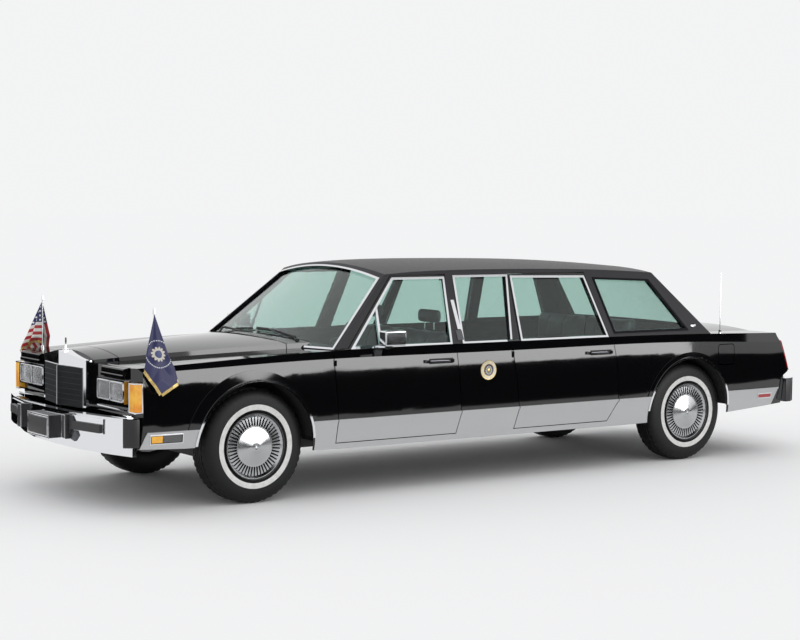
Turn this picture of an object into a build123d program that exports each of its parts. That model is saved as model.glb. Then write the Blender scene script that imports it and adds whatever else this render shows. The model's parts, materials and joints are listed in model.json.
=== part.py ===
# A stretched four-door limousine with a padded roof, fixed filler panels between the doors and flag staffs on the
# front fenders. Millimetres, +Z up. The origin is on the ground at the middle of the car's length and width.
# The car faces -Y, so +X is its own left side.
import os
from math import cos, pi, radians, sin, tan

from build123d import *

os.makedirs("parts", exist_ok=True)

# Driving dimensions of the whole car
FRONT_END_Y = -3353
REAR_END_Y = 3353
FRONT_AXLE_Y = -2135
WHEELBASE = 4140
REAR_AXLE_Y = FRONT_AXLE_Y + WHEELBASE
TRACK = 1576
SILL_Z = 338
FLOOR_Z = 387
BELT_Z = 1048
SKIN = 14
WALL_IN_X = 895
SEAM_HALF = 3
GAP = 6

# Wheels
TYRE_RADIUS = 400
TYRE_WIDTH = 235
RIM_RADIUS = 230
COVER_SLOTS = 48
SLOT_CENTRE_R = 176
SLOT_LENGTH = 66
SLOT_WIDTH = 15
KINGPIN_X = 690
STEER_DEGREES = 30

# Lower body sections: y, half width, crease height, top height
BODY_SECTIONS = (
    (-3160, 944, 957, 980),
    (-2550, 975, 968, 1006),
    (-1850, 988, 988, 1036),
    (-1000, 991, 993, 1052),
    (1100, 991, 993, 1052),
    (2200, 985, 976, 1040),
    (3200, 953, 942, 1016),
)
# Raised centre of the hood: y, crown half width, crown edge height, crown centre height, foot half width
HOOD_SECTIONS = (
    (-3200, 338, 994, 1040, 362),
    (-2400, 480, 1045, 1085, 512),
    (-1500, 622, 1082, 1122, 655),
)
# Crowned rear deck: y, half width at the foot, centre height
DECK_SECTIONS = (
    (2000, 835, 1094),
    (3300, 800, 1042),
)
# Greenhouse plan at two heights: z, half width, front corner y, front centre y, rear corner y, rear centre y
GREENHOUSE_PLANS = (
    (960, 969.6, -1585, -1756, 2308, 2424),
    (1700, 636.6, -771, -861, 1612, 1720),
)
# Roof crown: y, centre height, height 700 out from the centre
ROOF_SECTIONS = (
    (-1300, 1580, 1520),
    (-850, 1641, 1571),
    (-80, 1656, 1590),
    (730, 1645, 1585),
    (1380, 1616, 1566),
    (2100, 1560, 1520),
)

# Side outlines, each a loop of (y, z) points
FRONT_DOOR = (
    (-1545, 985), (-1502, 570), (-1512, 388), (-440, 388), (-402, 541),
    (-459, 1068), (-366, 1560), (-866, 1560), (-1385, 1056), (-1522, 1047),
)
REAR_DOOR = (
    (71, 1064), (155, 547), (114, 388), (1063, 388), (1172, 548), (1138, 875),
    (1111, 995), (1108, 1050), (1022, 1556), (246, 1556), (196, 1064),
)
FRONT_WINDOW = ((-1328, 1066), (-858, 1528), (-398, 1528), (-470, 1066))
REAR_WINDOW = ((222, 1066), (272, 1526), (1000, 1516), (1080, 1066))
FILLER_WINDOW = ((-340, 1066), (-282, 1536), (214, 1536), (102, 1066))
QUARTER_WINDOW = ((1184, 1092), (1118, 1500), (1690, 1476), (1960, 1092))
CLADDING = (
    (-3003, 557), (-3050, 446), (-2721, 433), (-2500, 433), (-1700, 348), (-1500, 344), (1400, 340), (2300, 371),
    (2961, 412), (3036, 557),
)
# Doors: name, outline, window, hinge y
DOORS = (
    ("front", FRONT_DOOR, FRONT_WINDOW, -1545),
    ("rear", REAR_DOOR, REAR_WINDOW, 71),
)
DOOR_HINGE_X = 988
HINGE_RADIUS = 2.6
# Height of each door's hinge barrel, bottom and top
HINGE_Z = {"front": (940, 980), "rear": (940, 980)}
MIRROR_EDGE = 12
# Middle of each door's handle, along the car
HANDLES = {"front": -622, "rear": 950}

# Wheel arches: centre y, centre z, radius, and the outer edge of the raised flare round each
FRONT_ARCH = (-2165, 400, 465)
REAR_ARCH = (1966, 400, 452)
FRONT_FLARE = (-2200, 420, 519)
REAR_FLARE = (1958, 408, 492)
FLARE_OUT = 6
FLARE_BOTTOM_Z = 557
LIP_OUT = 10
LIP_WIDTH = 12

# Cap over each pair of headlamps: side outline and reach across
BROW_CAP = ((-3060, 903), (-3112, 903), (-3122, 912), (-3122, 930), (-3116, 936), (-3116, 968), (-3108, 976), (-3060, 985))
BROW_X = (500, 822)

HOOD_FRONT_Y = -2930
HOOD_REAR_Y = -1700
HOOD_SEAM_X = 790
HOOD_HINGE_Z = 1113
LID_FRONT_Y = 2440
LID_SEAM_X = 790
LID_BOTTOM_Z = 800
LID_HINGE_Z = 1075
FIREWALL_Y = -1580
BULKHEAD_Y = 1765
TRUNK_FLOOR_Z = 520

# Fuel door: front y, rear y, bottom z, top z
FUEL_DOOR = (2277, 2467, 782, 949)
FUEL_HINGE_X = 984

ARCH_BOTTOM_FRONT_Z = 440
BUMPER_TOP_Z = 657
BUMPER_BOTTOM_Z = 458


def save(part, name):
    """Labels a finished piece and writes it as one STEP file."""
    part.label = name
    export_step(part, f"parts/{name}.step")


def box(x0, x1, y0, y1, z0, z1):
    """A plain block between two corners."""
    with BuildPart() as block:
        with Locations(((x0 + x1) / 2, (y0 + y1) / 2, (z0 + z1) / 2)):
            Box(x1 - x0, y1 - y0, z1 - z0)
    return block.part


def side_prism(points, x0, x1, grow=0):
    """A side-view loop of (y, z) points pushed from x0 to x1, its outline grown or shrunk."""
    with BuildPart() as prism:
        with BuildSketch(Plane.YZ.offset(x0)):
            with BuildLine():
                Polyline(*points, close=True)
            make_face()
            if grow:
                offset(amount=grow, kind=Kind.INTERSECTION)
        extrude(amount=x1 - x0)
    return prism.part


def front_prism(points, y0, y1, grow=0):
    """A front-view loop of (x, z) points pushed from y0 to y1."""
    with BuildPart() as prism:
        with BuildSketch(Plane.XZ.offset(-y0)):
            with BuildLine():
                Polyline(*points, close=True)
            make_face()
            if grow:
                offset(amount=grow, kind=Kind.INTERSECTION)
        extrude(amount=-(y1 - y0))
    return prism.part


def plan_prism(points, z0, z1):
    """A plan-view loop of (x, y) points pushed from z0 up to z1."""
    with BuildPart() as prism:
        with BuildSketch(Plane.XY.offset(z0)):
            with BuildLine():
                Polyline(*points, close=True)
            make_face()
        extrude(amount=z1 - z0)
    return prism.part


def rod_x(y, z, radius, x0, x1):
    """A cylinder along X."""
    with BuildPart() as rod:
        with BuildSketch(Plane.YZ.offset(x0)):
            with Locations((y, z)):
                Circle(radius)
        extrude(amount=x1 - x0)
    return rod.part


def rod_y(x, z, radius, y0, y1):
    """A cylinder along Y."""
    with BuildPart() as rod:
        with BuildSketch(Plane.XZ.offset(-y0)):
            with Locations((x, z)):
                Circle(radius)
        extrude(amount=-(y1 - y0))
    return rod.part


def rod_z(x, y, radius, z0, z1):
    """A cylinder along Z."""
    with BuildPart() as rod:
        with BuildSketch(Plane.XY.offset(z0)):
            with Locations((x, y)):
                Circle(radius)
        extrude(amount=z1 - z0)
    return rod.part


def mirrored(part):
    """The same piece on the other side of the car."""
    return mirror(part, about=Plane.YZ)


def group(*parts):
    """One node made of solids that don't touch."""
    solids = []
    for part in parts:
        solids += part.solids()
    return Compound(children=solids)


def lower_form(inset=0, drop=0):
    """The closed outer form of the lower body, set in by a thickness, its bottom lowered by drop."""
    with BuildPart() as form:
        for y, half, crease_z, top_z in BODY_SECTIONS:
            w = half - inset
            top = top_z - inset
            crease = crease_z - inset * 0.6
            base = SILL_Z + inset - drop
            with BuildSketch(Plane.XZ.offset(-y)):
                with BuildLine():
                    Polyline((0, base), (w - 90, base), (w - 36, base + 12), (w - 8, 560))
                    ThreePointArc((w - 8, 560), (w, 800), (w - 7, crease))
                    Polyline((w - 7, crease), (w - 50, top), (0, top))
                    mirror(about=Plane.YZ)
                make_face()
        loft()
    return form.part


def hood_form(inset=0):
    """The raised centre of the hood."""
    with BuildPart() as form:
        for y, half, edge_z, centre_z, foot in HOOD_SECTIONS:
            w = half - inset
            with BuildSketch(Plane.XZ.offset(-y)):
                with BuildLine():
                    ThreePointArc((-w, edge_z - inset), (0, centre_z - inset), (w, edge_z - inset))
                    Polyline((w, edge_z - inset), (foot - inset, 900), (inset - foot, 900), (-w, edge_z - inset))
                make_face()
        loft()
    return form.part


def deck_form(inset=0):
    """The crowned rear deck."""
    with BuildPart() as form:
        for y, half, centre_z in DECK_SECTIONS:
            w = half - inset
            with BuildSketch(Plane.XZ.offset(-y)):
                with BuildLine():
                    ThreePointArc((-w, centre_z - 62 - inset), (0, centre_z - inset), (w, centre_z - 62 - inset))
                    Polyline((w, centre_z - 62 - inset), (w, 900), (-w, 900), (-w, centre_z - 62 - inset))
                make_face()
        loft()
    return form.part


def greenhouse_form(inset=0):
    """The closed form of roof, pillars and windows, set in by a thickness."""
    with BuildPart() as form:
        for z, half, front_corner, front_centre, rear_corner, rear_centre in GREENHOUSE_PLANS:
            w = half - inset * 1.1
            fc = front_corner + inset * 1.5
            fm = front_centre + inset * 1.5
            rc = rear_corner - inset * 1.4
            rm = rear_centre - inset * 1.4
            with BuildSketch(Plane.XY.offset(z)):
                with BuildLine():
                    ThreePointArc((w, fc), (0, fm), (-w, fc))
                    Line((-w, fc), (-w, rc))
                    ThreePointArc((-w, rc), (0, rm), (w, rc))
                    Line((w, rc), (w, fc))
                make_face()
        loft(ruled=True)
    with BuildPart() as crown:
        for y, centre_z, edge_z in ROOF_SECTIONS:
            top = centre_z - inset * 1.2
            side = top - (centre_z - edge_z) * 1.25
            with BuildSketch(Plane.XZ.offset(-y)):
                with BuildLine():
                    ThreePointArc((-783, side), (0, top), (783, side))
                    Polyline((783, side), (1100, side), (1100, 900), (-1100, 900), (-1100, side), (-783, side))
                make_face()
        loft()
    # The crown stops short of the windscreen's and rear window's feet, so plain blocks carry it on
    low = group(box(-1100, 1100, -2000, -1299, 900, 1510), box(-1100, 1100, 2099, 2600, 900, 1510))
    cap = crown.part + low.solids()[0] + low.solids()[1]
    return form.part & cap


def ends(inset=0):
    """What lies between the nose and the tail: bowed in plan in front, raked in side view at the back."""
    nose = plan_prism(
        (
            (-1100, -2980 + inset), (-955, -3030 + inset), (-850, -3072 + inset), (-400, -3100 + inset),
            (400, -3100 + inset), (850, -3072 + inset), (955, -3030 + inset), (1100, -2980 + inset),
            (1100, 3400), (-1100, 3400),
        ),
        0,
        1800,
    )
    tail = side_prism(
        (
            (-3400, 0), (3090 - inset, 0), (3090 - inset, 655), (3148 - inset, 690), (3036 - inset, 985),
            (3020 - inset, 1200), (-3400, 1200),
        ),
        -1100,
        1100,
    )
    return nose & tail


def body_form(inset=0, drop=0):
    """Lower body with the hood's and the deck's crowns."""
    crowned = lower_form(inset, drop) + hood_form(inset) + deck_form(inset)
    return crowned & ends(inset)


# Forms that the panels are cut from
outer = body_form()
inner = body_form(SKIN, 200)
house = greenhouse_form()
house_in = greenhouse_form(38)
glass_layer = greenhouse_form(14) - greenhouse_form(20)
skin = outer - inner
lower = lower_form()
door_skin = lower - lower_form(12)
above_belt = box(-1100, 1100, -3000, 3000, 1035, 1700)
frame_skin = (house - greenhouse_form(12)) & above_belt
frame_wall = (house - house_in) & above_belt
chrome_layer = greenhouse_form(-5) - house
clad_layer = lower_form(-5) & box(-1100, 1100, -3200, 3200, 320, 541)
clad_layer = clad_layer + (lower_form(-10) & box(-1100, 1100, -3200, 3200, 541, 557)) - lower_form()
clad_layer = clad_layer & side_prism(CLADDING, 800, 1100)

front_arches = rod_x(*FRONT_ARCH, -1100, -455) + rod_x(*FRONT_ARCH, 455, 1100)
rear_arches = rod_x(*REAR_ARCH, -1100, -640) + rod_x(*REAR_ARCH, 640, 1100)
under_nose = box(-1100, 1100, -3400, -2400, 0, ARCH_BOTTOM_FRONT_Z)
under_tail = side_prism(((2300, 0), (2300, 368), (3200, 424), (3400, 424), (3400, 0)), -1100, 1100)
skin = skin - front_arches - rear_arches - under_nose - under_tail

door_holes = []
door_barrels = {}
for door_name, outline, window, hinge_y in DOORS:
    hole = side_prism(outline, 650, 1100, SEAM_HALF)
    z0, z1 = HINGE_Z[door_name]
    hole = hole + rod_z(DOOR_HINGE_X, hinge_y, HINGE_RADIUS + 0.4, z0 - 6, z1 + 6)
    hole = hole + box(DOOR_HINGE_X - 4, 1100, hinge_y, hinge_y + 20, z0 - 6, z1 + 6)
    door_barrels[door_name] = rod_z(DOOR_HINGE_X, hinge_y, HINGE_RADIUS, z0, z1) + box(
        DOOR_HINGE_X - 2, DOOR_HINGE_X + 2, hinge_y, hinge_y + 20, z0, z1
    )
    door_holes.append(hole)
    door_holes.append(mirrored(hole))

# Windscreen and rear window outlines, as front-view loops
with BuildPart() as screen_hole:
    with BuildSketch(Plane.XZ.offset(1900)):
        with BuildLine():
            ThreePointArc((-672, 1534), (0, 1606), (672, 1534))
            Polyline((672, 1534), (886, 1062), (-886, 1062), (-672, 1534))
        make_face()
    extrude(amount=-1100)
with BuildPart() as screen_plate:
    with BuildSketch(Plane.XZ.offset(1900)):
        with BuildLine():
            ThreePointArc((-681, 1545), (0, 1617), (681, 1545))
            Polyline((681, 1545), (900, 1050), (-900, 1050), (-681, 1545))
        make_face()
    extrude(amount=-1100)
with BuildPart() as rear_hole:
    with BuildSketch(Plane.XZ.offset(-1500)):
        with BuildLine():
            ThreePointArc((-590, 1500), (0, 1548), (590, 1500))
            Polyline((590, 1500), (740, 1110), (-740, 1110), (-590, 1500))
        make_face()
    extrude(amount=-1000)
with BuildPart() as rear_plate:
    with BuildSketch(Plane.XZ.offset(-1500)):
        with BuildLine():
            ThreePointArc((-600, 1512), (0, 1560), (600, 1512))
            Polyline((600, 1512), (754, 1099), (-754, 1099), (-600, 1512))
        make_face()
    extrude(amount=-1000)

# Fixed glass
side_glass_left = []
for window in (FILLER_WINDOW, QUARTER_WINDOW):
    side_glass_left += (glass_layer & side_prism(window, 600, 1100, 6)).solids()
windscreen = (glass_layer & screen_plate.part) - outer
rear_window = (glass_layer & rear_plate.part) - outer
fixed_glass = group(windscreen, rear_window, *side_glass_left, *[mirrored(pane) for pane in side_glass_left])
save(fixed_glass, "fixed_glass")

# Roof with its pillars
roof = house - house_in - outer - screen_hole.part - rear_hole.part
for hole in door_holes:
    roof = roof - hole
for window in (FILLER_WINDOW, QUARTER_WINDOW):
    cut = side_prism(window, 600, 1100)
    roof = roof - cut - mirrored(cut)
for pane in fixed_glass.solids():
    roof = roof - pane
save(roof, "roof")

# Front fenders, nose, hood
fender_zone = side_prism(
    (
        (-3400, 300), (-1515, 300), (-1515, 388), (-1505, 570), (-1548, 985), (-1525, 1047), (-1525, 1200),
        (-3400, 1200),
    ),
    HOOD_SEAM_X + SEAM_HALF,
    1100,
)
left_fender = (skin & fender_zone) - door_holes[0]
flare_layer = (lower_form(-FLARE_OUT) - lower) & box(800, 1100, -2900, 2600, FLARE_BOTTOM_Z, 1000)


def flare_band(flare, arch):
    """The raised band between a wheel arch's lip and its flare's outer edge."""
    band = rod_x(*flare, 800, 1100) - rod_x(arch[0], arch[1], arch[2] + LIP_WIDTH, 800, 1100)
    return flare_layer & band


left_fender = left_fender + (flare_band(FRONT_FLARE, FRONT_ARCH) & fender_zone)
save(group(left_fender, mirrored(left_fender)), "front_fenders")

nose_zone = box(-HOOD_SEAM_X - SEAM_HALF, HOOD_SEAM_X + SEAM_HALF, -3400, HOOD_FRONT_Y - SEAM_HALF, 0, 1300)
nose_panel = skin & nose_zone
# Caps over the headlamps, standing a little proud of the nose
for side in (-1, 1):
    cap = side_prism(BROW_CAP, *sorted((side * BROW_X[0], side * BROW_X[1])))
    nose_panel = nose_panel + (cap - outer)
save(nose_panel, "nose_panel")

hood_zone = box(
    SEAM_HALF - HOOD_SEAM_X, HOOD_SEAM_X - SEAM_HALF, HOOD_FRONT_Y + SEAM_HALF, HOOD_REAR_Y - SEAM_HALF, 900, 1300
)
hood = skin & hood_zone
hood = hood + rod_x(HOOD_REAR_Y, HOOD_HINGE_Z, HINGE_RADIUS, -100, 100)
hood = hood + box(-100, 100, HOOD_REAR_Y - 6, HOOD_REAR_Y, HOOD_HINGE_Z - 2.5, HOOD_HINGE_Z)
save(hood, "hood")

# Main body: cowl, posts, fillers, sills, quarters and tail
walls = (outer & box(-1100, 1100, -1620, 1505, 300, 1200)) - box(-WALL_IN_X, WALL_IN_X, -1700, 1600, 0, 1300)
walls = walls - left_fender - mirrored(left_fender) - front_arches - rear_arches
cowl_zone = box(-1100, 1100, HOOD_REAR_Y + SEAM_HALF, 3400, 0, 1300)
body = (skin & cowl_zone) - left_fender - mirrored(left_fender)
body = body + walls - house_in
for hole in door_holes:
    body = body - hole
lid_zone = box(-LID_SEAM_X, LID_SEAM_X, LID_FRONT_Y, 3400, LID_BOTTOM_Z, 1300)
lid_hole = box(
    -LID_SEAM_X - SEAM_HALF, LID_SEAM_X + SEAM_HALF, LID_FRONT_Y - SEAM_HALF, 3400, LID_BOTTOM_Z - SEAM_HALF, 1300
)
body = body - lid_hole
fy0, fy1, fz0, fz1 = FUEL_DOOR
with BuildPart() as fuel_flap:
    with BuildSketch(Plane.YZ.offset(900)):
        with Locations(((fy0 + fy1) / 2, (fz0 + fz1) / 2)):
            RectangleRounded(fy1 - fy0 - GAP, fz1 - fz0 - GAP, 26)
    extrude(amount=200)
with BuildPart() as fuel_hole:
    with BuildSketch(Plane.YZ.offset(900)):
        with Locations(((fy0 + fy1) / 2, (fz0 + fz1) / 2)):
            RectangleRounded(fy1 - fy0 + GAP, fz1 - fz0 + GAP, 30)
    extrude(amount=200)
fuel_door = skin & fuel_flap.part
fuel_door = fuel_door + rod_z(FUEL_HINGE_X, fy0, HINGE_RADIUS, 845, 885)
fuel_door = fuel_door + box(FUEL_HINGE_X - 2, FUEL_HINGE_X + 2, fy0, fy0 + 6, 845, 885)
save(fuel_door, "fuel_door")
rear_flare = flare_band(REAR_FLARE, REAR_ARCH)
body = body + rear_flare + mirrored(rear_flare) - fuel_hole.part
save(body, "body_shell")

lid = skin & box(
    SEAM_HALF - LID_SEAM_X, LID_SEAM_X - SEAM_HALF, LID_FRONT_Y + SEAM_HALF, 3400, LID_BOTTOM_Z + SEAM_HALF, 1300
)
lid = lid + rod_x(LID_FRONT_Y, LID_HINGE_Z, HINGE_RADIUS, -100, 100)
lid = lid + box(-100, 100, LID_FRONT_Y, LID_FRONT_Y + 6, LID_HINGE_Z - 2.5, LID_HINGE_Z)
save(lid, "trunk_lid")


# Doors
trim_rings = []
for window in (FILLER_WINDOW, QUARTER_WINDOW):
    ring = chrome_layer & (side_prism(window, 600, 1100, 17) - side_prism(window, 600, 1100))
    trim_rings += (ring - lower - door_holes[2]).solids()

for door_name, outline, window, hinge_y in DOORS:
    flange_zone = side_prism(outline, 655, 1100, -SEAM_HALF)
    slab_zone = side_prism(outline, 657, 1100, -25)
    side_zone = box(WALL_IN_X, 1100, -3000, 3000, 0, 1200)
    slab = lower & slab_zone & side_zone
    panel = (door_skin & flange_zone & side_zone) + slab + (frame_skin & flange_zone) + (frame_wall & slab_zone)
    panel = panel - side_prism(window, 600, 1100) + door_barrels[door_name]
    pane = glass_layer & side_prism(window, 600, 1100, 10)
    panel = panel - pane
    ring = chrome_layer & (side_prism(window, 600, 1100, 17) - side_prism(window, 600, 1100))
    ring = ring - lower
    cladding = clad_layer & flange_zone
    handle_y = HANDLES[door_name]
    handle = box(984, 1012, handle_y - 125, handle_y + 125, 926, 950) - lower
    trim = [ring, cladding, handle]
    if door_name == "front":
        foot = box(940, 1062, -1160, -1095, 1052, 1075) - lower
        case = box(1036, 1128, -1198, -1020, 1075, 1186)
        case = fillet(case.edges(), MIRROR_EDGE)
        trim.append(foot + case)
        trim[0] = trim[0] + (greenhouse_form(-5) - greenhouse_form(12) & side_prism(
            ((-1110, 1066), (-1078, 1310), (-1056, 1331), (-1088, 1066)), 600, 1100
        ))
    for side, flip in (("left", False), ("right", True)):
        pieces = [panel, pane, group(*trim)]
        if flip:
            pieces = [mirrored(piece) for piece in pieces]
        save(pieces[0], f"{door_name}_door_{side}")
        save(pieces[1], f"{door_name}_door_{side}_glass")
        save(pieces[2], f"{door_name}_door_{side}_trim")

# Fixed cladding and bright trim
fixed_clad = clad_layer
for hole in door_holes[::2]:
    fixed_clad = fixed_clad - hole
for centre_y, centre_z, radius in (FRONT_ARCH, REAR_ARCH):
    fixed_clad = fixed_clad - rod_x(centre_y, centre_z, radius + LIP_WIDTH, 800, 1100)
save(group(*fixed_clad.solids(), *mirrored(fixed_clad).solids()), "side_cladding")

# Chrome lips round the wheel arches, over the painted flares of the fenders and quarters
lip_layer = lower_form(-LIP_OUT) - lower
lips = []
for centre_y, centre_z, radius in (FRONT_ARCH, REAR_ARCH):
    band = rod_x(centre_y, centre_z, radius + LIP_WIDTH, 880, 1100) - rod_x(centre_y, centre_z, radius - 5, 880, 1100)
    edge = rod_x(centre_y, centre_z, radius, 880, 1100) - rod_x(centre_y, centre_z, radius - 5, 880, 1100)
    above = box(880, 1100, -3000, 3000, 440, 1000)
    lip = (band & lip_layer & above) + (edge & door_skin & above)
    lips += lip.solids()
screen_ring = chrome_layer & (screen_plate.part - screen_hole.part) - outer
save(screen_ring, "screen_trim")
save(group(*trim_rings, *lips, *[mirrored(piece) for piece in trim_rings + lips]), "bright_trim")

# Wheel liners
liners = []
for arch, x0 in ((FRONT_ARCH, 455), (REAR_ARCH, 640)):
    centre_y, centre_z, radius = arch
    shell = rod_x(centre_y, centre_z, radius + 10, x0 - 10, 1000) - rod_x(centre_y, centre_z, radius, x0, 1100)
    shell = shell & inner & box(0, 1100, -3000, 3000, 445, 1100)
    shell = shell - walls - box(400, 640, centre_y - 240, centre_y + 280, 200, 612)
    liners += shell.solids()
save(group(*liners, *[mirrored(piece) for piece in liners]), "wheel_liners")

# Floor, firewall, bulkheads
floor = box(-WALL_IN_X, WALL_IN_X, FIREWALL_Y, 1480, FLOOR_Z, FLOOR_Z + 12)
floor = floor + box(-WALL_IN_X, WALL_IN_X, FIREWALL_Y, FIREWALL_Y + 12, FLOOR_Z, 1020)
floor = floor + (box(-WALL_IN_X, WALL_IN_X, 1468, 1480, FLOOR_Z, 560) - rod_x(*REAR_ARCH[:2], REAR_ARCH[2] + 12, -1100, -628))
floor = floor - rod_x(*REAR_ARCH[:2], REAR_ARCH[2] + 12, 628, 1100)
floor = floor + box(-628, 628, 1468, 2450, 548, 560)
floor = floor + box(-628, 628, 2438, 2450, TRUNK_FLOOR_Z, 560)
floor = floor + (box(-1100, 1100, 2438, 3400, TRUNK_FLOOR_Z, TRUNK_FLOOR_Z + 12) & inner)
floor = floor + box(-628, 628, BULKHEAD_Y, BULKHEAD_Y + 12, 548, 1020)
save(floor, "floor_pan")


# Wheels: corner, axle y
def turned(points, x_inner):
    """A ring turned about the X axis from a loop of (x, radius) points."""
    with BuildPart() as ring:
        with BuildSketch(Plane.XY):
            with BuildLine():
                Polyline(*[(x_inner + x, r) for x, r in points], close=True)
            make_face()
        revolve(axis=Axis.X)
    return ring.part


TYRE_IN_X = (TRACK - TYRE_WIDTH) / 2
HALF_TYRE = TYRE_WIDTH / 2
tyre = turned(
    (
        (22, RIM_RADIUS - 2), (4, 262), (0, 300), (6, 350), (20, 382), (40, 397), (70, TYRE_RADIUS),
        (TYRE_WIDTH - 70, TYRE_RADIUS), (TYRE_WIDTH - 40, 397), (TYRE_WIDTH - 20, 382), (TYRE_WIDTH - 6, 350),
        (TYRE_WIDTH, 300), (TYRE_WIDTH - 4, 262), (TYRE_WIDTH - 22, RIM_RADIUS - 2), (TYRE_WIDTH - 34, RIM_RADIUS - 2),
        (TYRE_WIDTH - 34, 248), (34, 248), (34, RIM_RADIUS - 2),
    ),
    TYRE_IN_X,
)
barrel = turned(
    (
        (16, RIM_RADIUS - 14), (16, RIM_RADIUS - 2), (34, RIM_RADIUS - 2), (TYRE_WIDTH - 34, RIM_RADIUS - 2),
        (TYRE_WIDTH - 16, RIM_RADIUS - 2), (TYRE_WIDTH - 16, RIM_RADIUS - 14),
    ),
    TYRE_IN_X,
)
disc = turned(((0, 24.08), (0, 205), (14, RIM_RADIUS - 10), (24, RIM_RADIUS - 10), (12, 200), (12, 70), (60, 70), (60, 24.08)), 770)
brake = turned(((0, 24.08), (0, 150), (22, 150), (22, 60), (35, 60), (35, 24.08)), 735)
cover = turned(
    (
        (2, 0), (2, 60), (-10, 130), (-16, 214), (-4, 227), (8, 227), (8, 221), (-6, 206), (-2, 132), (12, 60), (20, 30),
        (22, 0),
    ),
    TYRE_IN_X + TYRE_WIDTH - 16,
)
with BuildPart() as slots:
    with BuildSketch(Plane.YZ.offset(700)):
        with PolarLocations(0, COVER_SLOTS):
            with Locations((SLOT_CENTRE_R, 0)):
                Trapezoid(SLOT_WIDTH, SLOT_LENGTH, 87.5, rotation=-90)
    extrude(amount=300)
wheel = barrel + disc + brake + (cover - slots.part)

for corner, axle_y, flip in (
    ("front_left", FRONT_AXLE_Y, False), ("front_right", FRONT_AXLE_Y, True),
    ("rear_left", REAR_AXLE_Y, False), ("rear_right", REAR_AXLE_Y, True),
):
    place = Pos(0, axle_y, TYRE_RADIUS)
    for piece, piece_name in ((tyre, "tyre"), (wheel, "wheel")):
        placed = place * piece
        save(mirrored(placed) if flip else placed, f"{corner}_{piece_name}")

# Steering knuckles
ay = FRONT_AXLE_Y
knuckle = box(672, 708, ay - 34, ay + 34, 292, 528) + rod_x(ay, TYRE_RADIUS, 24, 700, 836)
knuckle = knuckle + rod_x(ay, TYRE_RADIUS, 46, 690, 728) + rod_z(690, ay, 16, 262, 300) + rod_z(690, ay, 16, 520, 552)
knuckle = knuckle + box(600, 690, ay + 20, ay + 120, 330, 352)
caliper = box(712, 766, ay - 186, ay - 96, 350, 450) - box(729, 763, ay - 156, ay - 90, 340, 460)
caliper = caliper + box(690, 716, ay - 110, ay - 20, 370, 430)
knuckle = knuckle + caliper
save(knuckle, "knuckle_left")
save(mirrored(knuckle), "knuckle_right")

# Chassis frame
RAIL_IN_X = 330
RAIL_OUT_X = 425
rail = side_prism(
    (
        (-3084, 440), (-1850, 440), (-1620, 290), (1500, 290), (1660, 460), (2400, 460),
        (2560, 420), (3076, 420), (3076, 505), (2430, 505), (2330, 545), (1600, 545), (1480, 385), (-1600, 385),
        (-1800, 530), (-2500, 530), (-2700, 510), (-3084, 510),
    ),
    RAIL_IN_X,
    RAIL_OUT_X,
)
frame = rail + mirrored(rail)
for cross_y, z0, z1 in (
    (-2980, 445, 500), (-1320, 290, 311), (-300, 290, 311), (620, 290, 311), (1320, 290, 311), (2480, 465, 505),
    (3010, 430, 495),
):
    frame = frame + box(-RAIL_IN_X - 20, RAIL_IN_X + 20, cross_y - 40, cross_y + 40, z0, z1)
# Front cross member with the lower and upper arms, springs and towers
frame = frame + box(-400, 400, ay - 90, ay + 90, 250, 330)
for side in (-1, 1):
    frame = frame + box(*sorted((side * 330, side * 420)), ay - 90, ay + 90, 320, 460)
    for z0, z1, reach in ((238, 262, 130), (552, 574, 100)):
        arm = plan_prism(
            (
                (side * 380, ay - reach), (side * 380, ay + reach), (side * 440, ay + reach), (side * 712, ay + 30),
                (side * 712, ay - 30), (side * 440, ay - reach),
            ),
            z0,
            z1,
        )
        frame = frame + (arm - rod_z(side * 690, ay, 16.5, 200, 640))
    frame = frame + box(*sorted((side * 360, side * 425)), ay - 110, ay + 110, 500, 600)
    frame = frame + rod_z(side * 520, ay, 55, 260, 420)
    frame = frame + box(*sorted((side * 410, side * 560)), ay - 60, ay + 60, 420, 445)
save(frame, "chassis_frame")

# Rear axle, prop shaft and rear springs
SHAFT_Z = 350
ry = REAR_AXLE_Y
rear_axle = rod_x(ry, TYRE_RADIUS, 40, -640, 640) + rod_x(ry, TYRE_RADIUS, 24, -836, 836)
with BuildPart() as pumpkin:
    with Locations((0, ry, TYRE_RADIUS)):
        Sphere(125)
rear_axle = rear_axle + pumpkin.part + rod_y(0, SHAFT_Z, 46, ry - 210, ry)
rear_axle = rear_axle + rod_x(ry, TYRE_RADIUS, 110, 640, 664) + rod_x(ry, TYRE_RADIUS, 110, -664, -640)
for side in (-1, 1):
    rear_axle = rear_axle + rod_z(side * 388, ry, 50, 430, 460)
rear_axle = rear_axle + rod_y(0, SHAFT_Z, 34, -1180, ry - 120)
save(rear_axle, "driveline")

# Engine with its gearbox, one plain block
engine = box(-290, 290, -2560, -1690, 345, 860) + box(-150, 150, -1690, -1180, 315, 380)
engine = engine - box(-420, 420, ay - 95, ay + 95, 200, 335)
save(engine, "engine_block")

# Fuel tank and exhaust
save(box(-320, 320, 2560, 2950, 400, TRUNK_FLOOR_Z) - rail - mirrored(rail), "fuel_tank")
pipe_x = 250
exhaust = rod_y(pipe_x, 346, 28, -1160, 1720) + box(pipe_x - 76, pipe_x + 76, 300, 900, 318, 380)
exhaust = exhaust + rod_y(pipe_x, 308, 26, 1660, 3000)
for hanger_y in (-300, 620, 1320):
    exhaust = exhaust + box(pipe_x - 12, pipe_x + 12, hanger_y - 12, hanger_y + 12, 311, 330)
save(group(exhaust, mirrored(exhaust)), "exhaust")

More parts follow.
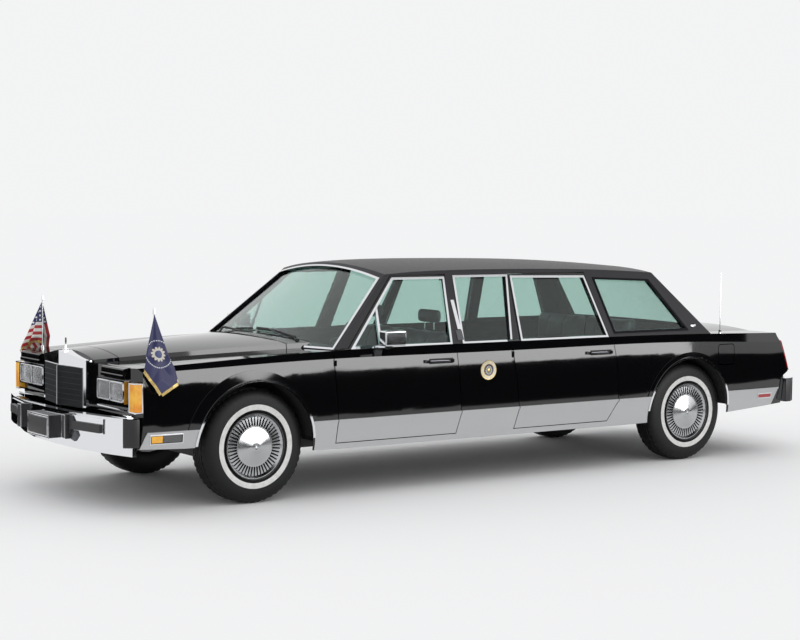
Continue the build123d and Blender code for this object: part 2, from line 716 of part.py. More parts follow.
# Bumpers. The step that carries a rub strip runs outboard from each guard.
GUARD_IN_X = 336
GUARD_OUT_X = 393
STEP_LINE = ((393, -3284), (744, -3212))
STEP_OUT = 10
STEP_Z = (540, 640)
STRIP_END_X = 726
STRIP_OUT = 26
STRIP_Z = (545, 602)
FRONT_BAR = ((0, -3302), (364, -3290), (726, -3216), (905, -3158), (945, -3105), (952, -3060))
front_bar = plan_prism(
    [*[(-x, y) for x, y in reversed(FRONT_BAR[1:])], *FRONT_BAR,
     (890, -3060), (860, -3120), (700, -3160), (364, -3232), (0, -3245),
     (-364, -3232), (-700, -3160), (-860, -3120), (-890, -3060)],
    BUMPER_BOTTOM_Z,
    BUMPER_TOP_Z,
)
valance_points = [(0, -3225), (364, -3212), (700, -3145), (900, -3085), (900, -3040), (0, -3040)]
valance = plan_prism(valance_points, 395, BUMPER_BOTTOM_Z)
for side in (-1, 1):
    bracket = box(*sorted((side * 350, side * 425)), -3240, -3100, 460, 510)
    front_bar = front_bar + bracket
step_points = [(x, y + 32) for x, y in STEP_LINE] + [(x, y - STEP_OUT) for x, y in reversed(STEP_LINE)]
step = plan_prism(step_points, *STEP_Z)
front_bar = front_bar + step + mirrored(step)
front_bumper = front_bar + valance + mirrored(valance) - (outer & box(-1100, 1100, -3200, -2990, 300, 700))
save(front_bumper, "front_bumper")

REAR_BAR = ((0, 3353), (400, 3340), (760, 3296), (940, 3228), (985, 3150), (985, 3095))
rear_bar = plan_prism(
    [*[(-x, y) for x, y in reversed(REAR_BAR[1:])], *REAR_BAR,
     (930, 3095), (925, 3135), (890, 3175), (740, 3238), (390, 3282), (0, 3294),
     (-390, 3282), (-740, 3238), (-890, 3175), (-925, 3135), (-930, 3095)],
    430,
    630,
)
for side in (-1, 1):
    rear_bar = rear_bar + box(*sorted((side * 350, side * 425)), 3090, 3290, 430, 490)
save(rear_bar, "rear_bumper")

# Guards, rub strips and the blank plate box on the front bumper
pads = []
strip_rear = -3212 - (744 - STRIP_END_X) * 72 / 351
strip_points = [(GUARD_OUT_X + 1, -3284 - STRIP_OUT), (STRIP_END_X, strip_rear - STRIP_OUT), (STRIP_END_X, -3180)]
strip = plan_prism([(GUARD_OUT_X + 1, -3260), *strip_points], *STRIP_Z) - front_bumper
strip = strip.solids().sort_by(Axis.Y)[0]
for side in (-1, 1):
    guard = box(*sorted((side * GUARD_IN_X, side * GUARD_OUT_X)), -3330, -3270, 476, 642) - front_bumper
    guard = guard.solids().sort_by(Axis.Y)[0]
    pads += [chamfer(guard.edges().filter_by(Axis.Z).group_by(Axis.Y)[0], 8)]
pads += [strip, mirrored(strip)]
plate_box = box(-170, 170, -3353, -3290, 456, 612) - front_bumper
pads += plate_box.solids()
for side in (-1, 1):
    rear_guard = box(*sorted((side * 360, side * 420)), 3300, 3353, 440, 625) - rear_bar
    pads += rear_guard.solids()
save(group(*pads), "bumper_pads")

# The nose and the tail as solid blocks, for seating lamps and the grille
nose_block = outer & box(-1100, 1100, -3200, -2990, 600, 1100)
tail_block = outer & box(-1100, 1100, 2900, 3300, 600, 1100)

# Grille: chrome shell and dark bars
GRILLE_HALF = 300
shell = plan_prism(((-340, -3100), (-340, -3152), (0, -3196), (340, -3152), (340, -3100)), 640, 1100)
shell = shell & front_prism(((-340, 640), (-340, 997), (0, 1046), (340, 997), (340, 640)), -3300, -3000)
shell = shell - box(-GRILLE_HALF, GRILLE_HALF, -3300, -3118, 667, 941)
save(shell - nose_block, "grille_shell")
bars = box(-GRILLE_HALF, GRILLE_HALF, -3124, -3118, 667, 941)
for index in range(24):
    x = 10 + index * 12.2
    front_y = -3203 + 41 * x / GRILLE_HALF
    bars = bars + box(x, x + 5, front_y, -3120, 667, 941) + box(-x - 5, -x, front_y, -3120, 667, 941)
bars = bars + plan_prism(((-6, -3120), (-6, -3202), (0, -3208), (6, -3202), (6, -3120)), 667, 941)
save(bars, "grille_bars")

# Lamps
bezels = []
lenses = []
for side in (-1, 1):
    bezel = box(*sorted((side * 432, side * 838)), -3116, -3060, 742, 894)
    for x0, x1 in ((450, 628), (642, 820)):
        bezel = bezel - box(*sorted((side * x0, side * x1)), -3200, -3060, 758, 878)
        lens = box(*sorted((side * x0, side * x1)), -3112, -3060, 758, 878) - nose_block
        lenses += lens.solids()
    bezels += (bezel - nose_block).solids()
    for z in (665, 703):
        bezels += (box(*sorted((side * 425, side * 870)), -3110, -3060, z - 5, z + 5) - nose_block).solids()
save(group(*bezels), "headlamp_bezels")
save(group(*lenses), "headlamp_lenses")
ambers = []
reds = []
for side in (-1, 1):
    ambers += (box(*sorted((side * 880, side * 956)), -3098, -3034, 691, 889) - nose_block).solids()
    tail_zone = box(*sorted((side * 815, side * 960)), 3030, 3200, 698, 955)
    reds += (((lower & tail_zone) & ends(-14)) - tail_block).solids()
save(group(*ambers), "corner_lamps")
save(group(*reds), "tail_lamps")

# Hood ornament, standing on the grille side of the hood's front edge
ornament = box(-16, 16, -3160, -3128, 1030, 1052) + box(-4, 4, -3150, -3138, 1050, 1132)
save(ornament - nose_block - shell, "nose_ornament")

# Dashboard with the steering column
dash = side_prism(
    ((-1568, 900), (-1250, 900), (-1250, 720), (-1180, 760), (-1160, 900), (-1200, 985), (-1400, 1020), (-1568, 1020)),
    -885,
    885,
)
column = box(352, 408, -1300, -1130, 800, 860)
with BuildPart() as steering_shaft:
    with Locations(Location((380, -1159, 831), (-62, 0, 0))):
        Cylinder(28, 273)
save(dash + column + steering_shaft.part, "dashboard")
STEER_AXIS_POINT = (380, -1020, 905)
with BuildPart() as steering_wheel:
    with Locations(Location(STEER_AXIS_POINT, (-62, 0, 0))):
        Torus(190, 13)
        Cylinder(38, 40)
        Box(370, 30, 14)
        with Locations((0, -90, 0)):
            Box(30, 190, 14)
save(steering_wheel.part, "steering_wheel")

# Seats
front_seats = []
for side in (-1, 1):
    x0, x1 = sorted((side * 70, side * 700))
    seat = box(x0, x1, -920, -420, FLOOR_Z + 12, 600)
    back = side_prism(((-480, 560), (-340, 560), (-215, 1150), (-330, 1150)), x0, x1)
    rest = box(x0 + 170, x1 - 170, -310, -230, 1145, 1290)
    front_seats += (seat + back + rest).solids()
save(group(*front_seats), "front_seats")
bench = box(-610, 610, 1090, 1640, 560, 700) + box(-610, 610, 1090, 1467, FLOOR_Z + 12, 600)
bench = bench + side_prism(((1560, 600), (1764, 600), (1764, 1180), (1640, 1180)), -610, 610)
save(bench - floor, "rear_bench")
jump_seats = []
for side in (-1, 1):
    x0, x1 = sorted((side * 90, side * 640))
    jump = box(x0, x1, -100, 330, FLOOR_Z + 12, 600) + box(x0, x1, -190, -90, FLOOR_Z + 12, 1130)
    jump_seats += jump.solids()
save(group(*jump_seats), "jump_seats")

# Flag staffs on the fenders and the aerial on the left rear quarter
STAFF = (881, -2918)
masts = []
for side in (-1, 1):
    staff = rod_z(side * STAFF[0], STAFF[1], 5, 960, 1352) + rod_z(side * STAFF[0], STAFF[1], 14, 985, 1006)
    tip = box(side * STAFF[0] - 14, side * STAFF[0] + 14, STAFF[1] - 3, STAFF[1] + 3, 1345, 1375)
    masts += (staff + tip - outer).solids()
aerial = rod_z(850, 2423, 3, 1020, 1544) + rod_z(850, 2423, 12, 1020, 1060)
masts += (aerial - outer).solids()
save(group(*masts), "masts")
flags = []
for side in (-1, 1):
    flag = front_prism(
        (
            (side * 886.4, 1330), (side * 996, 1000), (side * 1012, 985), (side * 1012, 800), (side * 1028, 800),
            (side * 1028, 990), (side * 898, 1335),
        ),
        STAFF[1] - 40,
        STAFF[1] + 60,
    )
    flags += flag.solids()
save(group(*flags), "flags")
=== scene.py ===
import json
import math
import random

import bmesh
import bpy
from mathutils import Matrix, Vector
from mathutils.bvhtree import BVHTree

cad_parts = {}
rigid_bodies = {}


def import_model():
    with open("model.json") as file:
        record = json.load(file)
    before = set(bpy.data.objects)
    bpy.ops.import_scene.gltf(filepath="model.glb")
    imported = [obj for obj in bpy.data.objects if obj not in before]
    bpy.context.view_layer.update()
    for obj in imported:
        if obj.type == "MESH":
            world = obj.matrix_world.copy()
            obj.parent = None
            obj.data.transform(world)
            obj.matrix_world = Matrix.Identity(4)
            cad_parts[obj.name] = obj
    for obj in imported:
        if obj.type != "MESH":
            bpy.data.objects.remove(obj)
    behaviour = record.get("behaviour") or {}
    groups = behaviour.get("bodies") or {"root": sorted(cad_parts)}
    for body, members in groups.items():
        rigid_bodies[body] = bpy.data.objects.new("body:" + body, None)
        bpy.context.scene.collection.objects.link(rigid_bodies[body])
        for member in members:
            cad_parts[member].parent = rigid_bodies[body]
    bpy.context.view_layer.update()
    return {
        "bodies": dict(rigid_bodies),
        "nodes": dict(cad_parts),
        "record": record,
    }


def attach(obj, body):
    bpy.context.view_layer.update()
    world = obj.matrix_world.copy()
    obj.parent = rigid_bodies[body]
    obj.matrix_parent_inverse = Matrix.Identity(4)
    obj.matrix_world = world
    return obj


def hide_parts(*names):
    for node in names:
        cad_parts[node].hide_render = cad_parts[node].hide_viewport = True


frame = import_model()
NODES = frame["nodes"]
random.seed(11)


# ---------------------------------------------------------------- materials
def new_material(name, base=(0.5, 0.5, 0.5), rough=0.5, metal=0.0, **extra):
    """A Principled material with its plain values set on the shader itself."""
    mat = bpy.data.materials.new(name)
    mat.use_nodes = True
    shader = mat.node_tree.nodes["Principled BSDF"]
    shader.inputs["Base Color"].default_value = (*base, 1)
    shader.inputs["Roughness"].default_value = rough
    shader.inputs["Metallic"].default_value = metal
    for key, value in extra.items():
        shader.inputs[key.replace("_", " ")].default_value = value
    return mat


def noise(mat, scale, detail=4, stretch=(1, 1, 1)):
    """A noise texture in object space and its mapping."""
    tree = mat.node_tree
    coord = tree.nodes.new("ShaderNodeTexCoord")
    mapping = tree.nodes.new("ShaderNodeMapping")
    mapping.inputs["Scale"].default_value = stretch
    tex = tree.nodes.new("ShaderNodeTexNoise")
    tex.inputs["Scale"].default_value = scale
    tex.inputs["Detail"].default_value = detail
    tree.links.new(coord.outputs["Object"], mapping.inputs["Vector"])
    tree.links.new(mapping.outputs["Vector"], tex.inputs["Vector"])
    return tex


def wave(mat, scale, direction, stretch=(1, 1, 1), kind="BANDS", profile="SIN"):
    """Parallel bands in object space."""
    tree = mat.node_tree
    coord = tree.nodes.new("ShaderNodeTexCoord")
    mapping = tree.nodes.new("ShaderNodeMapping")
    mapping.inputs["Scale"].default_value = stretch
    tex = tree.nodes.new("ShaderNodeTexWave")
    tex.wave_type = kind
    tex.bands_direction = direction
    tex.wave_profile = profile
    tex.inputs["Scale"].default_value = scale
    tree.links.new(coord.outputs["Object"], mapping.inputs["Vector"])
    tree.links.new(mapping.outputs["Vector"], tex.inputs["Vector"])
    return tex


def vary_rough(mat, tex, low, high):
    """Roughness that wanders between two values."""
    tree = mat.node_tree
    span = tree.nodes.new("ShaderNodeMapRange")
    span.inputs["To Min"].default_value = low
    span.inputs["To Max"].default_value = high
    tree.links.new(tex.outputs["Fac"], span.inputs["Value"])
    tree.links.new(span.outputs["Result"], tree.nodes["Principled BSDF"].inputs["Roughness"])


def vary_colour(mat, tex, low, high, at=(0.35, 0.65)):
    """Base colour that wanders between two colours."""
    tree = mat.node_tree
    ramp = tree.nodes.new("ShaderNodeValToRGB")
    ramp.color_ramp.elements[0].position = at[0]
    ramp.color_ramp.elements[1].position = at[1]
    ramp.color_ramp.elements[0].color = (*low, 1)
    ramp.color_ramp.elements[1].color = (*high, 1)
    tree.links.new(tex.outputs["Fac"], ramp.inputs["Fac"])
    tree.links.new(ramp.outputs["Color"], tree.nodes["Principled BSDF"].inputs["Base Color"])


def bump(mat, tex, strength, distance):
    """Relief from a texture."""
    tree = mat.node_tree
    node = tree.nodes.new("ShaderNodeBump")
    node.inputs["Strength"].default_value = strength
    node.inputs["Distance"].default_value = distance
    tree.links.new(tex.outputs["Fac"], node.inputs["Height"])
    tree.links.new(node.outputs["Normal"], tree.nodes["Principled BSDF"].inputs["Normal"])


def blend_by_height(mat, height, low_colour, high_colour, low_rough, high_rough):
    """One colour and roughness below a height in object space and another above it."""
    tree = mat.node_tree
    coord = tree.nodes.new("ShaderNodeTexCoord")
    split = tree.nodes.new("ShaderNodeSeparateXYZ")
    step = tree.nodes.new("ShaderNodeMapRange")
    step.inputs["From Min"].default_value = height - 0.001
    step.inputs["From Max"].default_value = height + 0.001
    ramp = tree.nodes.new("ShaderNodeValToRGB")
    ramp.color_ramp.elements[0].color = (*low_colour, 1)
    ramp.color_ramp.elements[1].color = (*high_colour, 1)
    rough = tree.nodes.new("ShaderNodeMapRange")
    rough.inputs["To Min"].default_value = low_rough
    rough.inputs["To Max"].default_value = high_rough
    shader = tree.nodes["Principled BSDF"]
    tree.links.new(coord.outputs["Object"], split.inputs["Vector"])
    tree.links.new(split.outputs["Z"], step.inputs["Value"])
    tree.links.new(step.outputs["Result"], ramp.inputs["Fac"])
    tree.links.new(step.outputs["Result"], rough.inputs["Value"])
    tree.links.new(ramp.outputs["Color"], shader.inputs["Base Color"])
    tree.links.new(rough.outputs["Result"], shader.inputs["Roughness"])


def dark_behind(mat, y_from, z_from, plain, dark):
    """A second colour for what lies behind a length and above a height in object space."""
    tree = mat.node_tree
    coord = tree.nodes.new("ShaderNodeTexCoord")
    split = tree.nodes.new("ShaderNodeSeparateXYZ")
    both = tree.nodes.new("ShaderNodeMath")
    both.operation = "MULTIPLY"
    for axis, limit, slot in (("Y", y_from, 0), ("Z", z_from, 1)):
        step = tree.nodes.new("ShaderNodeMath")
        step.operation = "GREATER_THAN"
        step.inputs[1].default_value = limit
        tree.links.new(split.outputs[axis], step.inputs[0])
        tree.links.new(step.outputs["Value"], both.inputs[slot])
    ramp = tree.nodes.new("ShaderNodeValToRGB")
    ramp.color_ramp.elements[0].color = (*plain, 1)
    ramp.color_ramp.elements[1].color = (*dark, 1)
    rough = tree.nodes.new("ShaderNodeMapRange")
    rough.inputs["To Min"].default_value = 0.06
    rough.inputs["To Max"].default_value = 0.4
    shader = tree.nodes["Principled BSDF"]
    tree.links.new(coord.outputs["Object"], split.inputs["Vector"])
    tree.links.new(both.outputs["Value"], ramp.inputs["Fac"])
    tree.links.new(both.outputs["Value"], rough.inputs["Value"])
    tree.links.new(ramp.outputs["Color"], shader.inputs["Base Color"])
    tree.links.new(rough.outputs["Result"], shader.inputs["Roughness"])


paint = new_material("black_paint", (0.003, 0.003, 0.0036), 0.05, 0.0, Specular_IOR_Level=0.75)
vary_rough(paint, noise(paint, 3), 0.03, 0.06)
vinyl = new_material("roof_vinyl", (0.015, 0.0135, 0.0175), 0.5, 0.0, Specular_IOR_Level=0.4)
bump(vinyl, noise(vinyl, 900, 3), 0.5, 0.0006)
vary_rough(vinyl, noise(vinyl, 40), 0.36, 0.5)
chrome = new_material("chrome", (0.80, 0.81, 0.83), 0.05, 1.0)
vary_rough(chrome, noise(chrome, 6), 0.03, 0.09)
brushed = new_material("brushed_cladding", (0.50, 0.505, 0.51), 0.3, 1.0)
brush_lines = noise(brushed, 60, 3, (1, 0.02, 6))
vary_rough(brushed, brush_lines, 0.26, 0.4)
bump(brushed, brush_lines, 0.08, 0.0002)
door_trim = new_material("door_trim", (0.80, 0.81, 0.83), 0.05, 1.0)
blend_by_height(door_trim, 0.566, (0.50, 0.505, 0.51), (0.80, 0.81, 0.83), 0.31, 0.06)
body_trim = new_material("body_trim", (0.80, 0.81, 0.83), 0.06, 1.0)
dark_behind(body_trim, 1.02, 1.06, (0.80, 0.81, 0.83), (0.013, 0.013, 0.015))
glass = new_material("tinted_glass", (0.60, 0.76, 0.71), 0.0, 0.0, Transmission_Weight=1.0, IOR=1.45)
vary_rough(glass, noise(glass, 4), 0.0, 0.012)
clear = new_material("clear_glass", (0.95, 0.96, 0.97), 0.02, 0.0, Transmission_Weight=0.9, IOR=1.45)
bump(clear, wave(clear, 55, "X"), 0.35, 0.002)
black_rubber = new_material("black_rubber", (0.016, 0.016, 0.018), 0.42)
vary_rough(black_rubber, noise(black_rubber, 120), 0.36, 0.5)
grey_rubber = new_material("grey_rubber", (0.075, 0.08, 0.088), 0.5)
vary_rough(grey_rubber, noise(grey_rubber, 90), 0.42, 0.58)
bump(grey_rubber, noise(grey_rubber, 400), 0.15, 0.0003)
black_plastic = new_material("black_plastic", (0.012, 0.012, 0.013), 0.6)
bump(black_plastic, noise(black_plastic, 300), 0.15, 0.0004)
chassis = new_material("chassis_black", (0.016, 0.016, 0.016), 0.5)
bump(chassis, noise(chassis, 60), 0.2, 0.001)
iron = new_material("engine_iron", (0.06, 0.06, 0.065), 0.6, 0.6)
bump(iron, noise(iron, 90), 0.3, 0.001)
exhaust_steel = new_material("exhaust_steel", (0.25, 0.24, 0.23), 0.45, 0.9)
vary_colour(exhaust_steel, noise(exhaust_steel, 9), (0.16, 0.15, 0.14), (0.3, 0.29, 0.28))
grille_grey = new_material("grille_grey", (0.05, 0.056, 0.06), 0.3, 0.7)
vary_rough(grille_grey, noise(grille_grey, 30), 0.25, 0.38)
amber = new_material("amber_lens", (0.95, 0.42, 0.02), 0.12, 0.0, Coat_Weight=0.6)
bump(amber, noise(amber, 20, 2, (1, 8, 20)), 0.4, 0.002)
vary_colour(amber, noise(amber, 12), (0.85, 0.3, 0.01), (1.0, 0.55, 0.05))
red = new_material("red_lens", (0.35, 0.006, 0.008), 0.12, 0.0, Coat_Weight=0.6)
bump(red, noise(red, 40, 2, (6, 1, 6)), 0.3, 0.001)
interior = new_material("interior_plastic", (0.03, 0.03, 0.034), 0.55)
bump(interior, noise(interior, 500), 0.2, 0.0004)
carpet = new_material("carpet", (0.02, 0.02, 0.024), 0.95)
bump(carpet, noise(carpet, 700), 0.8, 0.002)
leather = new_material("seat_leather", (0.045, 0.045, 0.052), 0.42)
bump(leather, noise(leather, 350, 5), 0.35, 0.0008)
vary_rough(leather, noise(leather, 30), 0.34, 0.5)
tyre_rubber = new_material("tyre_rubber", (0.009, 0.009, 0.0095), 0.5, 0.0, Specular_IOR_Level=0.22)
vary_rough(tyre_rubber, noise(tyre_rubber, 60), 0.42, 0.62)
white_band = new_material("white_band", (0.72, 0.72, 0.70), 0.45)
vary_colour(white_band, noise(white_band, 30), (0.66, 0.66, 0.64), (0.78, 0.78, 0.76))
wheel_metal = new_material("wheel_metal", (0.50, 0.51, 0.52), 0.2, 1.0, Anisotropic=0.6)
vary_rough(wheel_metal, noise(wheel_metal, 24), 0.16, 0.26)
reflector = new_material("reflector", (0.85, 0.86, 0.88), 0.12, 1.0)
bump(reflector, noise(reflector, 60, 1), 0.2, 0.002)
# Near-black matte: the cornering lamps' bed, and painted shade in the wheel covers and the handle wells
black_and_painted_shade = new_material("black_plastic_and_painted_shade", (0.002, 0.002, 0.002), 0.7)
bump(black_and_painted_shade, noise(black_and_painted_shade, 200), 0.1, 0.0003)
gold = new_material("fringe_gold", (0.72, 0.52, 0.18), 0.35, 0.55)
vary_rough(gold, noise(gold, 200), 0.28, 0.45)
cream = new_material("medallion_cream", (0.72, 0.66, 0.5), 0.4)
vary_colour(cream, noise(cream, 90), (0.62, 0.55, 0.38), (0.8, 0.75, 0.62))
navy = new_material("medallion_navy", (0.012, 0.02, 0.075), 0.3)
vary_rough(navy, noise(navy, 60), 0.22, 0.36)
headliner = new_material("headliner", (0.10, 0.10, 0.105), 0.9)
bump(headliner, noise(headliner, 600), 0.5, 0.001)

SLOT_MATERIAL = {
    "black_paint": paint, "roof_vinyl": vinyl, "tinted_glass": glass, "clear_glass": clear, "brushed_trim": brushed,
    "chrome": chrome, "black_plastic": black_plastic, "black_rubber": black_rubber, "chassis_black": chassis,
    "engine_iron": iron, "exhaust_steel": exhaust_steel, "grille_grey": grille_grey, "amber_plastic": amber,
    "red_plastic": red, "interior_plastic": interior, "seat_leather": leather, "flag_cloth": interior,
    "tyre_rubber": tyre_rubber, "wheel_metal": wheel_metal,
}
for part in frame["record"]["subparts"]:
    node = NODES[part["node"]]
    node.data.materials.clear()
    node.data.materials.append(SLOT_MATERIAL[part["material_slot"]])
NODES["floor_pan"].data.materials[0] = carpet
NODES["bright_trim"].data.materials[0] = body_trim
for door in ("front", "rear"):
    for label in ("left", "right"):
        NODES[f"{door}_door_{label}_trim"].data.materials[0] = door_trim


# ---------------------------------------------------------------- mesh tools
def make(name, verts, faces, mats, body, slot, face_mats=None, angle=38, bevel=0.0):
    """A mesh piece from points and faces, smooth by angle, riding on a body."""
    mesh = bpy.data.meshes.new(name)
    mesh.from_pydata([tuple(v) for v in verts], [], [tuple(f) for f in faces])
    mats = mats if isinstance(mats, (list, tuple)) else [mats]
    for mat in mats:
        mesh.materials.append(mat)
    if face_mats:
        for index, value in enumerate(face_mats):
            mesh.polygons[index].material_index = value
    bm = bmesh.new()
    bm.from_mesh(mesh)
    bmesh.ops.recalc_face_normals(bm, faces=bm.faces)
    if bevel:
        edges = [e for e in bm.edges if len(e.link_faces) == 2 and e.calc_face_angle(0) > math.radians(30)]
        bmesh.ops.bevel(bm, geom=edges, offset=bevel, segments=2, profile=0.6, affect="EDGES", clamp_overlap=True)
    bm.to_mesh(mesh)
    bm.free()
    mesh.shade_smooth()
    mesh.set_sharp_from_angle(angle=math.radians(angle))
    obj = bpy.data.objects.new(name, mesh)
    bpy.context.scene.collection.objects.link(obj)
    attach(obj, body)
    return obj


def grid(rows, closed_u=False, closed_v=False):
    """Points and quads of a net given as rows of points."""
    verts = [p for row in rows for p in row]
    n = len(rows[0])
    faces = []
    for i in range(len(rows) if closed_v else len(rows) - 1):
        for j in range(n if closed_u else n - 1):
            a, b = i * n + j, i * n + (j + 1) % n
            c, d = ((i + 1) % len(rows)) * n + (j + 1) % n, ((i + 1) % len(rows)) * n + j
            faces.append((a, b, c, d))
    return verts, faces


def loft(name, rings, mats, body, slot, caps=True, **more):
    """A skin over closed rings of equal count."""
    verts, faces = grid(rings, closed_u=True)
    if caps:
        n = len(rings[0])
        faces.append(tuple(range(n)))
        faces.append(tuple(range(len(verts) - n, len(verts))))
    return make(name, verts, faces, mats, body, slot, **more)


def prism(name, outline, shift, mats, body, slot, **more):
    """A closed flat outline pushed along a vector, with small rounded edges by bevel."""
    shift = Vector(shift)
    ring = [Vector(p) for p in outline]
    return loft(name, [ring, [p + shift for p in ring]], mats, body, slot, **more)


def sweep(name, path, section, mats, body, slot, up=(0, 0, 1), closed=False, caps=True, **more):
    """A section of (side, up) offsets carried along a path of points."""
    path = [Vector(p) for p in path]
    up = Vector(up)
    rings = []
    count = len(path)
    for i, p in enumerate(path):
        before = path[(i - 1) % count] if closed or i else path[0]
        after = path[(i + 1) % count] if closed or i < count - 1 else path[-1]
        into, out = (p - before), (after - p)
        tangent = (into.normalized() + out.normalized()).normalized()
        side = tangent.cross(up).normalized()
        normal = side.cross(tangent).normalized()
        stretch = 1.0
        if into.length > 1e-7 and out.length > 1e-7:
            half = into.angle(out) / 2
            stretch = 1 / max(math.cos(half), 0.5)
        rings.append([p + side * (u * stretch) + normal * v for u, v in section])
    verts, faces = grid(rings, closed_u=True, closed_v=closed)
    if caps and not closed:
        n = len(section)
        faces.append(tuple(range(n)))
        faces.append(tuple(range(len(verts) - n, len(verts))))
    return make(name, verts, faces, mats, body, slot, **more)


def lathe_x(name, profile, segments, centre, mats, body, slot, side=1, closed=True, wobble=None, **more):
    """A profile of (x, radius, material) turned about an axis along X; side -1 mirrors it."""
    rings = []
    for k in range(segments):
        t = 2 * math.pi * k / segments
        row = []
        for index, (x, r, _) in enumerate(profile):
            rr = r + (wobble(k, index, x, r) if wobble else 0)
            row.append(Vector((side * x, centre[0] + rr * math.cos(t), centre[1] + rr * math.sin(t))))
        rings.append(row)
    verts, faces = grid(rings, closed_u=closed, closed_v=True)
    per = len(profile) if closed else len(profile) - 1
    face_mats = [profile[i % per][2] for i in range(len(faces))]
    return make(name, verts, faces, mats, body, slot, face_mats=face_mats, **more)


def lathe_z(name, profile, segments, centre, mats, body, slot, **more):
    """A profile of (radius, z) turned about a vertical axis."""
    rings = []
    for k in range(segments):
        t = 2 * math.pi * k / segments
        rings.append([Vector((centre[0] + r * math.cos(t), centre[1] + r * math.sin(t), z)) for r, z in profile])
    verts, faces = grid(rings, closed_u=False, closed_v=True)
    return make(name, verts, faces, mats, body, slot, **more)


def smooth_line(points, steps=6, closed=False):
    """A Catmull-Rom line through points."""
    pts = [Vector(p) for p in points]
    n = len(pts)
    out = []
    for i in range(n if closed else n - 1):
        p0 = pts[(i - 1) % n] if closed or i else pts[0]
        p1, p2 = pts[i], pts[(i + 1) % n]
        p3 = pts[(i + 2) % n] if closed or i + 2 < n else pts[-1]
        for k in range(steps):
            t = k / steps
            out.append(
                0.5 * ((2 * p1) + (p2 - p0) * t + (2 * p0 - 5 * p1 + 4 * p2 - p3) * t * t
                       + (3 * p1 - p0 - 3 * p2 + p3) * t ** 3)
            )
    if not closed:
        out.append(pts[-1])
    return out


def circle(radius, count=12, squash=1.0):
    """A round section."""
    return [
        (radius * math.cos(2 * math.pi * k / count), squash * radius * math.sin(2 * math.pi * k / count))
        for k in range(count)
    ]


def rounded(half_u, half_v, radius, steps=3):
    """A rectangle section with rounded corners."""
    out = []
    for cu, cv, start in ((1, 1, 0), (-1, 1, 90), (-1, -1, 180), (1, -1, 270)):
        for k in range(steps + 1):
            a = math.radians(start + 90 * k / steps)
            out.append((cu * (half_u - radius) + radius * math.cos(a), cv * (half_v - radius) + radius * math.sin(a)))
    return out


def tree_of(*names):
    """A search tree over the outsides of CAD nodes."""
    verts, faces = [], []
    for name in names:
        mesh = NODES[name].data
        base = len(verts)
        verts += [NODES[name].matrix_world @ v.co for v in mesh.vertices]
        faces += [tuple(base + i for i in p.vertices) for p in mesh.polygons]
    return BVHTree.FromPolygons(verts, faces)


def drop_on(tree, origin, direction):
    """The point where a ray meets a tree, or None."""
    return tree.ray_cast(Vector(origin), Vector(direction).normalized())[0]


SIDES = ((1, "left"), (-1, "right"))
BODY_SIDE = tree_of("body_shell", "front_fenders", "front_door_left", "rear_door_left", "roof")


def side_x(y, z, fallback=0.99):
    """How far out the car's left side lies at a height and a length."""
    hit = drop_on(BODY_SIDE, (1.4, y, z), (-1, 0, 0))
    return hit.x if hit else fallback


# ---------------------------------------------------------------- tyres
TYRE_IN_X = 0.6705
SIDEWALL = (
    (22, 228), (10, 243), (4, 262), (0, 300), (2, 328), (8, 354), (18, 378), (32, 392),
)


def tyre_profile():
    """Half a section from the bead to the shoulder, then the ribbed tread, then the outer wall."""
    points = [(x, r, 0) for x, r in SIDEWALL]
    tread = [(40, 397)]
    for groove in (66, 93, 117.5, 142, 169):
        tread += [(groove - 4.5, 400), (groove - 3.5, 391.5), (groove + 3.5, 391.5), (groove + 4.5, 400)]
    tread += [(195, 397)]
    points += [(x, r, 0) for x, r in tread]
    outer_wall = [(203, 392, 0), (217, 378, 0), (227, 354, 0), (233, 328, 0), (234.6, 300, 0), (234.8, 295, 0)]
    band = [(236, 293.5, 1), (236, 290, 1), (235.4, 274, 1), (233.6, 258, 1), (233, 255.5, 0), (231, 254, 0)]
    points += outer_wall + band + [(224, 241, 0), (213, 228, 0), (201, 228, 0), (201, 248, 0), (34, 248, 0),
            (34, 228, 0)]
    return [((TYRE_IN_X * 1000 + x) / 1000, r / 1000, mat) for x, r, mat in points]


def lugs(k, index, x, r):
    """Shoulder blocks of the tread."""
    off = x * 1000 - TYRE_IN_X * 1000
    if k % 3 == 0 and (30 < off < 62 or 173 < off < 205) and r > 0.388:
        return -0.006
    return 0


for corner, axle_y, side in (
    ("front_left", -2.135, 1), ("front_right", -2.135, -1), ("rear_left", 2.005, 1), ("rear_right", 2.005, -1),
):
    tyre = lathe_x(
        f"{corner}_tyre_dressed", tyre_profile(), 150, (axle_y, 0.4), [tyre_rubber, white_band], f"{corner}_wheel",
        "tyre_rubber", side=side, wobble=lugs,
    )
    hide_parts(f"{corner}_tyre")
    # Dark ring and backing behind the slotted cover, a near-black disc that paints the shade inside the wheel, and the
    # hub's small oblong cap
    lathe_x(
        f"{corner}_cover_backing_painted_shade",
        [(0.868, 0.02, 0), (0.868, 0.224, 0), (0.870, 0.224, 0), (0.870, 0.02, 0)],
        48, (axle_y, 0.4), black_and_painted_shade, f"{corner}_wheel", "black_plastic", side=side,
    )
    hub = [(u, v) for u, v in rounded(0.009, 0.021, 0.0085, 4)]
    prism(
        f"{corner}_hub_mark", [(side * 0.9075, axle_y + u, 0.4 + v) for u, v in hub], (side * 0.003, 0, 0),
        black_plastic, f"{corner}_wheel", "black_plastic", bevel=0.0008,
    )
    rim = [(0.8905, 0.2285, 0), (0.8945, 0.2345, 0), (0.9, 0.2365, 0), (0.9045, 0.234, 0), (0.9045, 0.229, 0),
            (0.9, 0.2265, 0)]
    lathe_x(f"{corner}_rim_lip", rim, 96, (axle_y, 0.4), black_rubber, f"{corner}_wheel", "black_rubber", side=side)


# ---------------------------------------------------------------- flags
HOIST, FLY = 0.305, 0.457
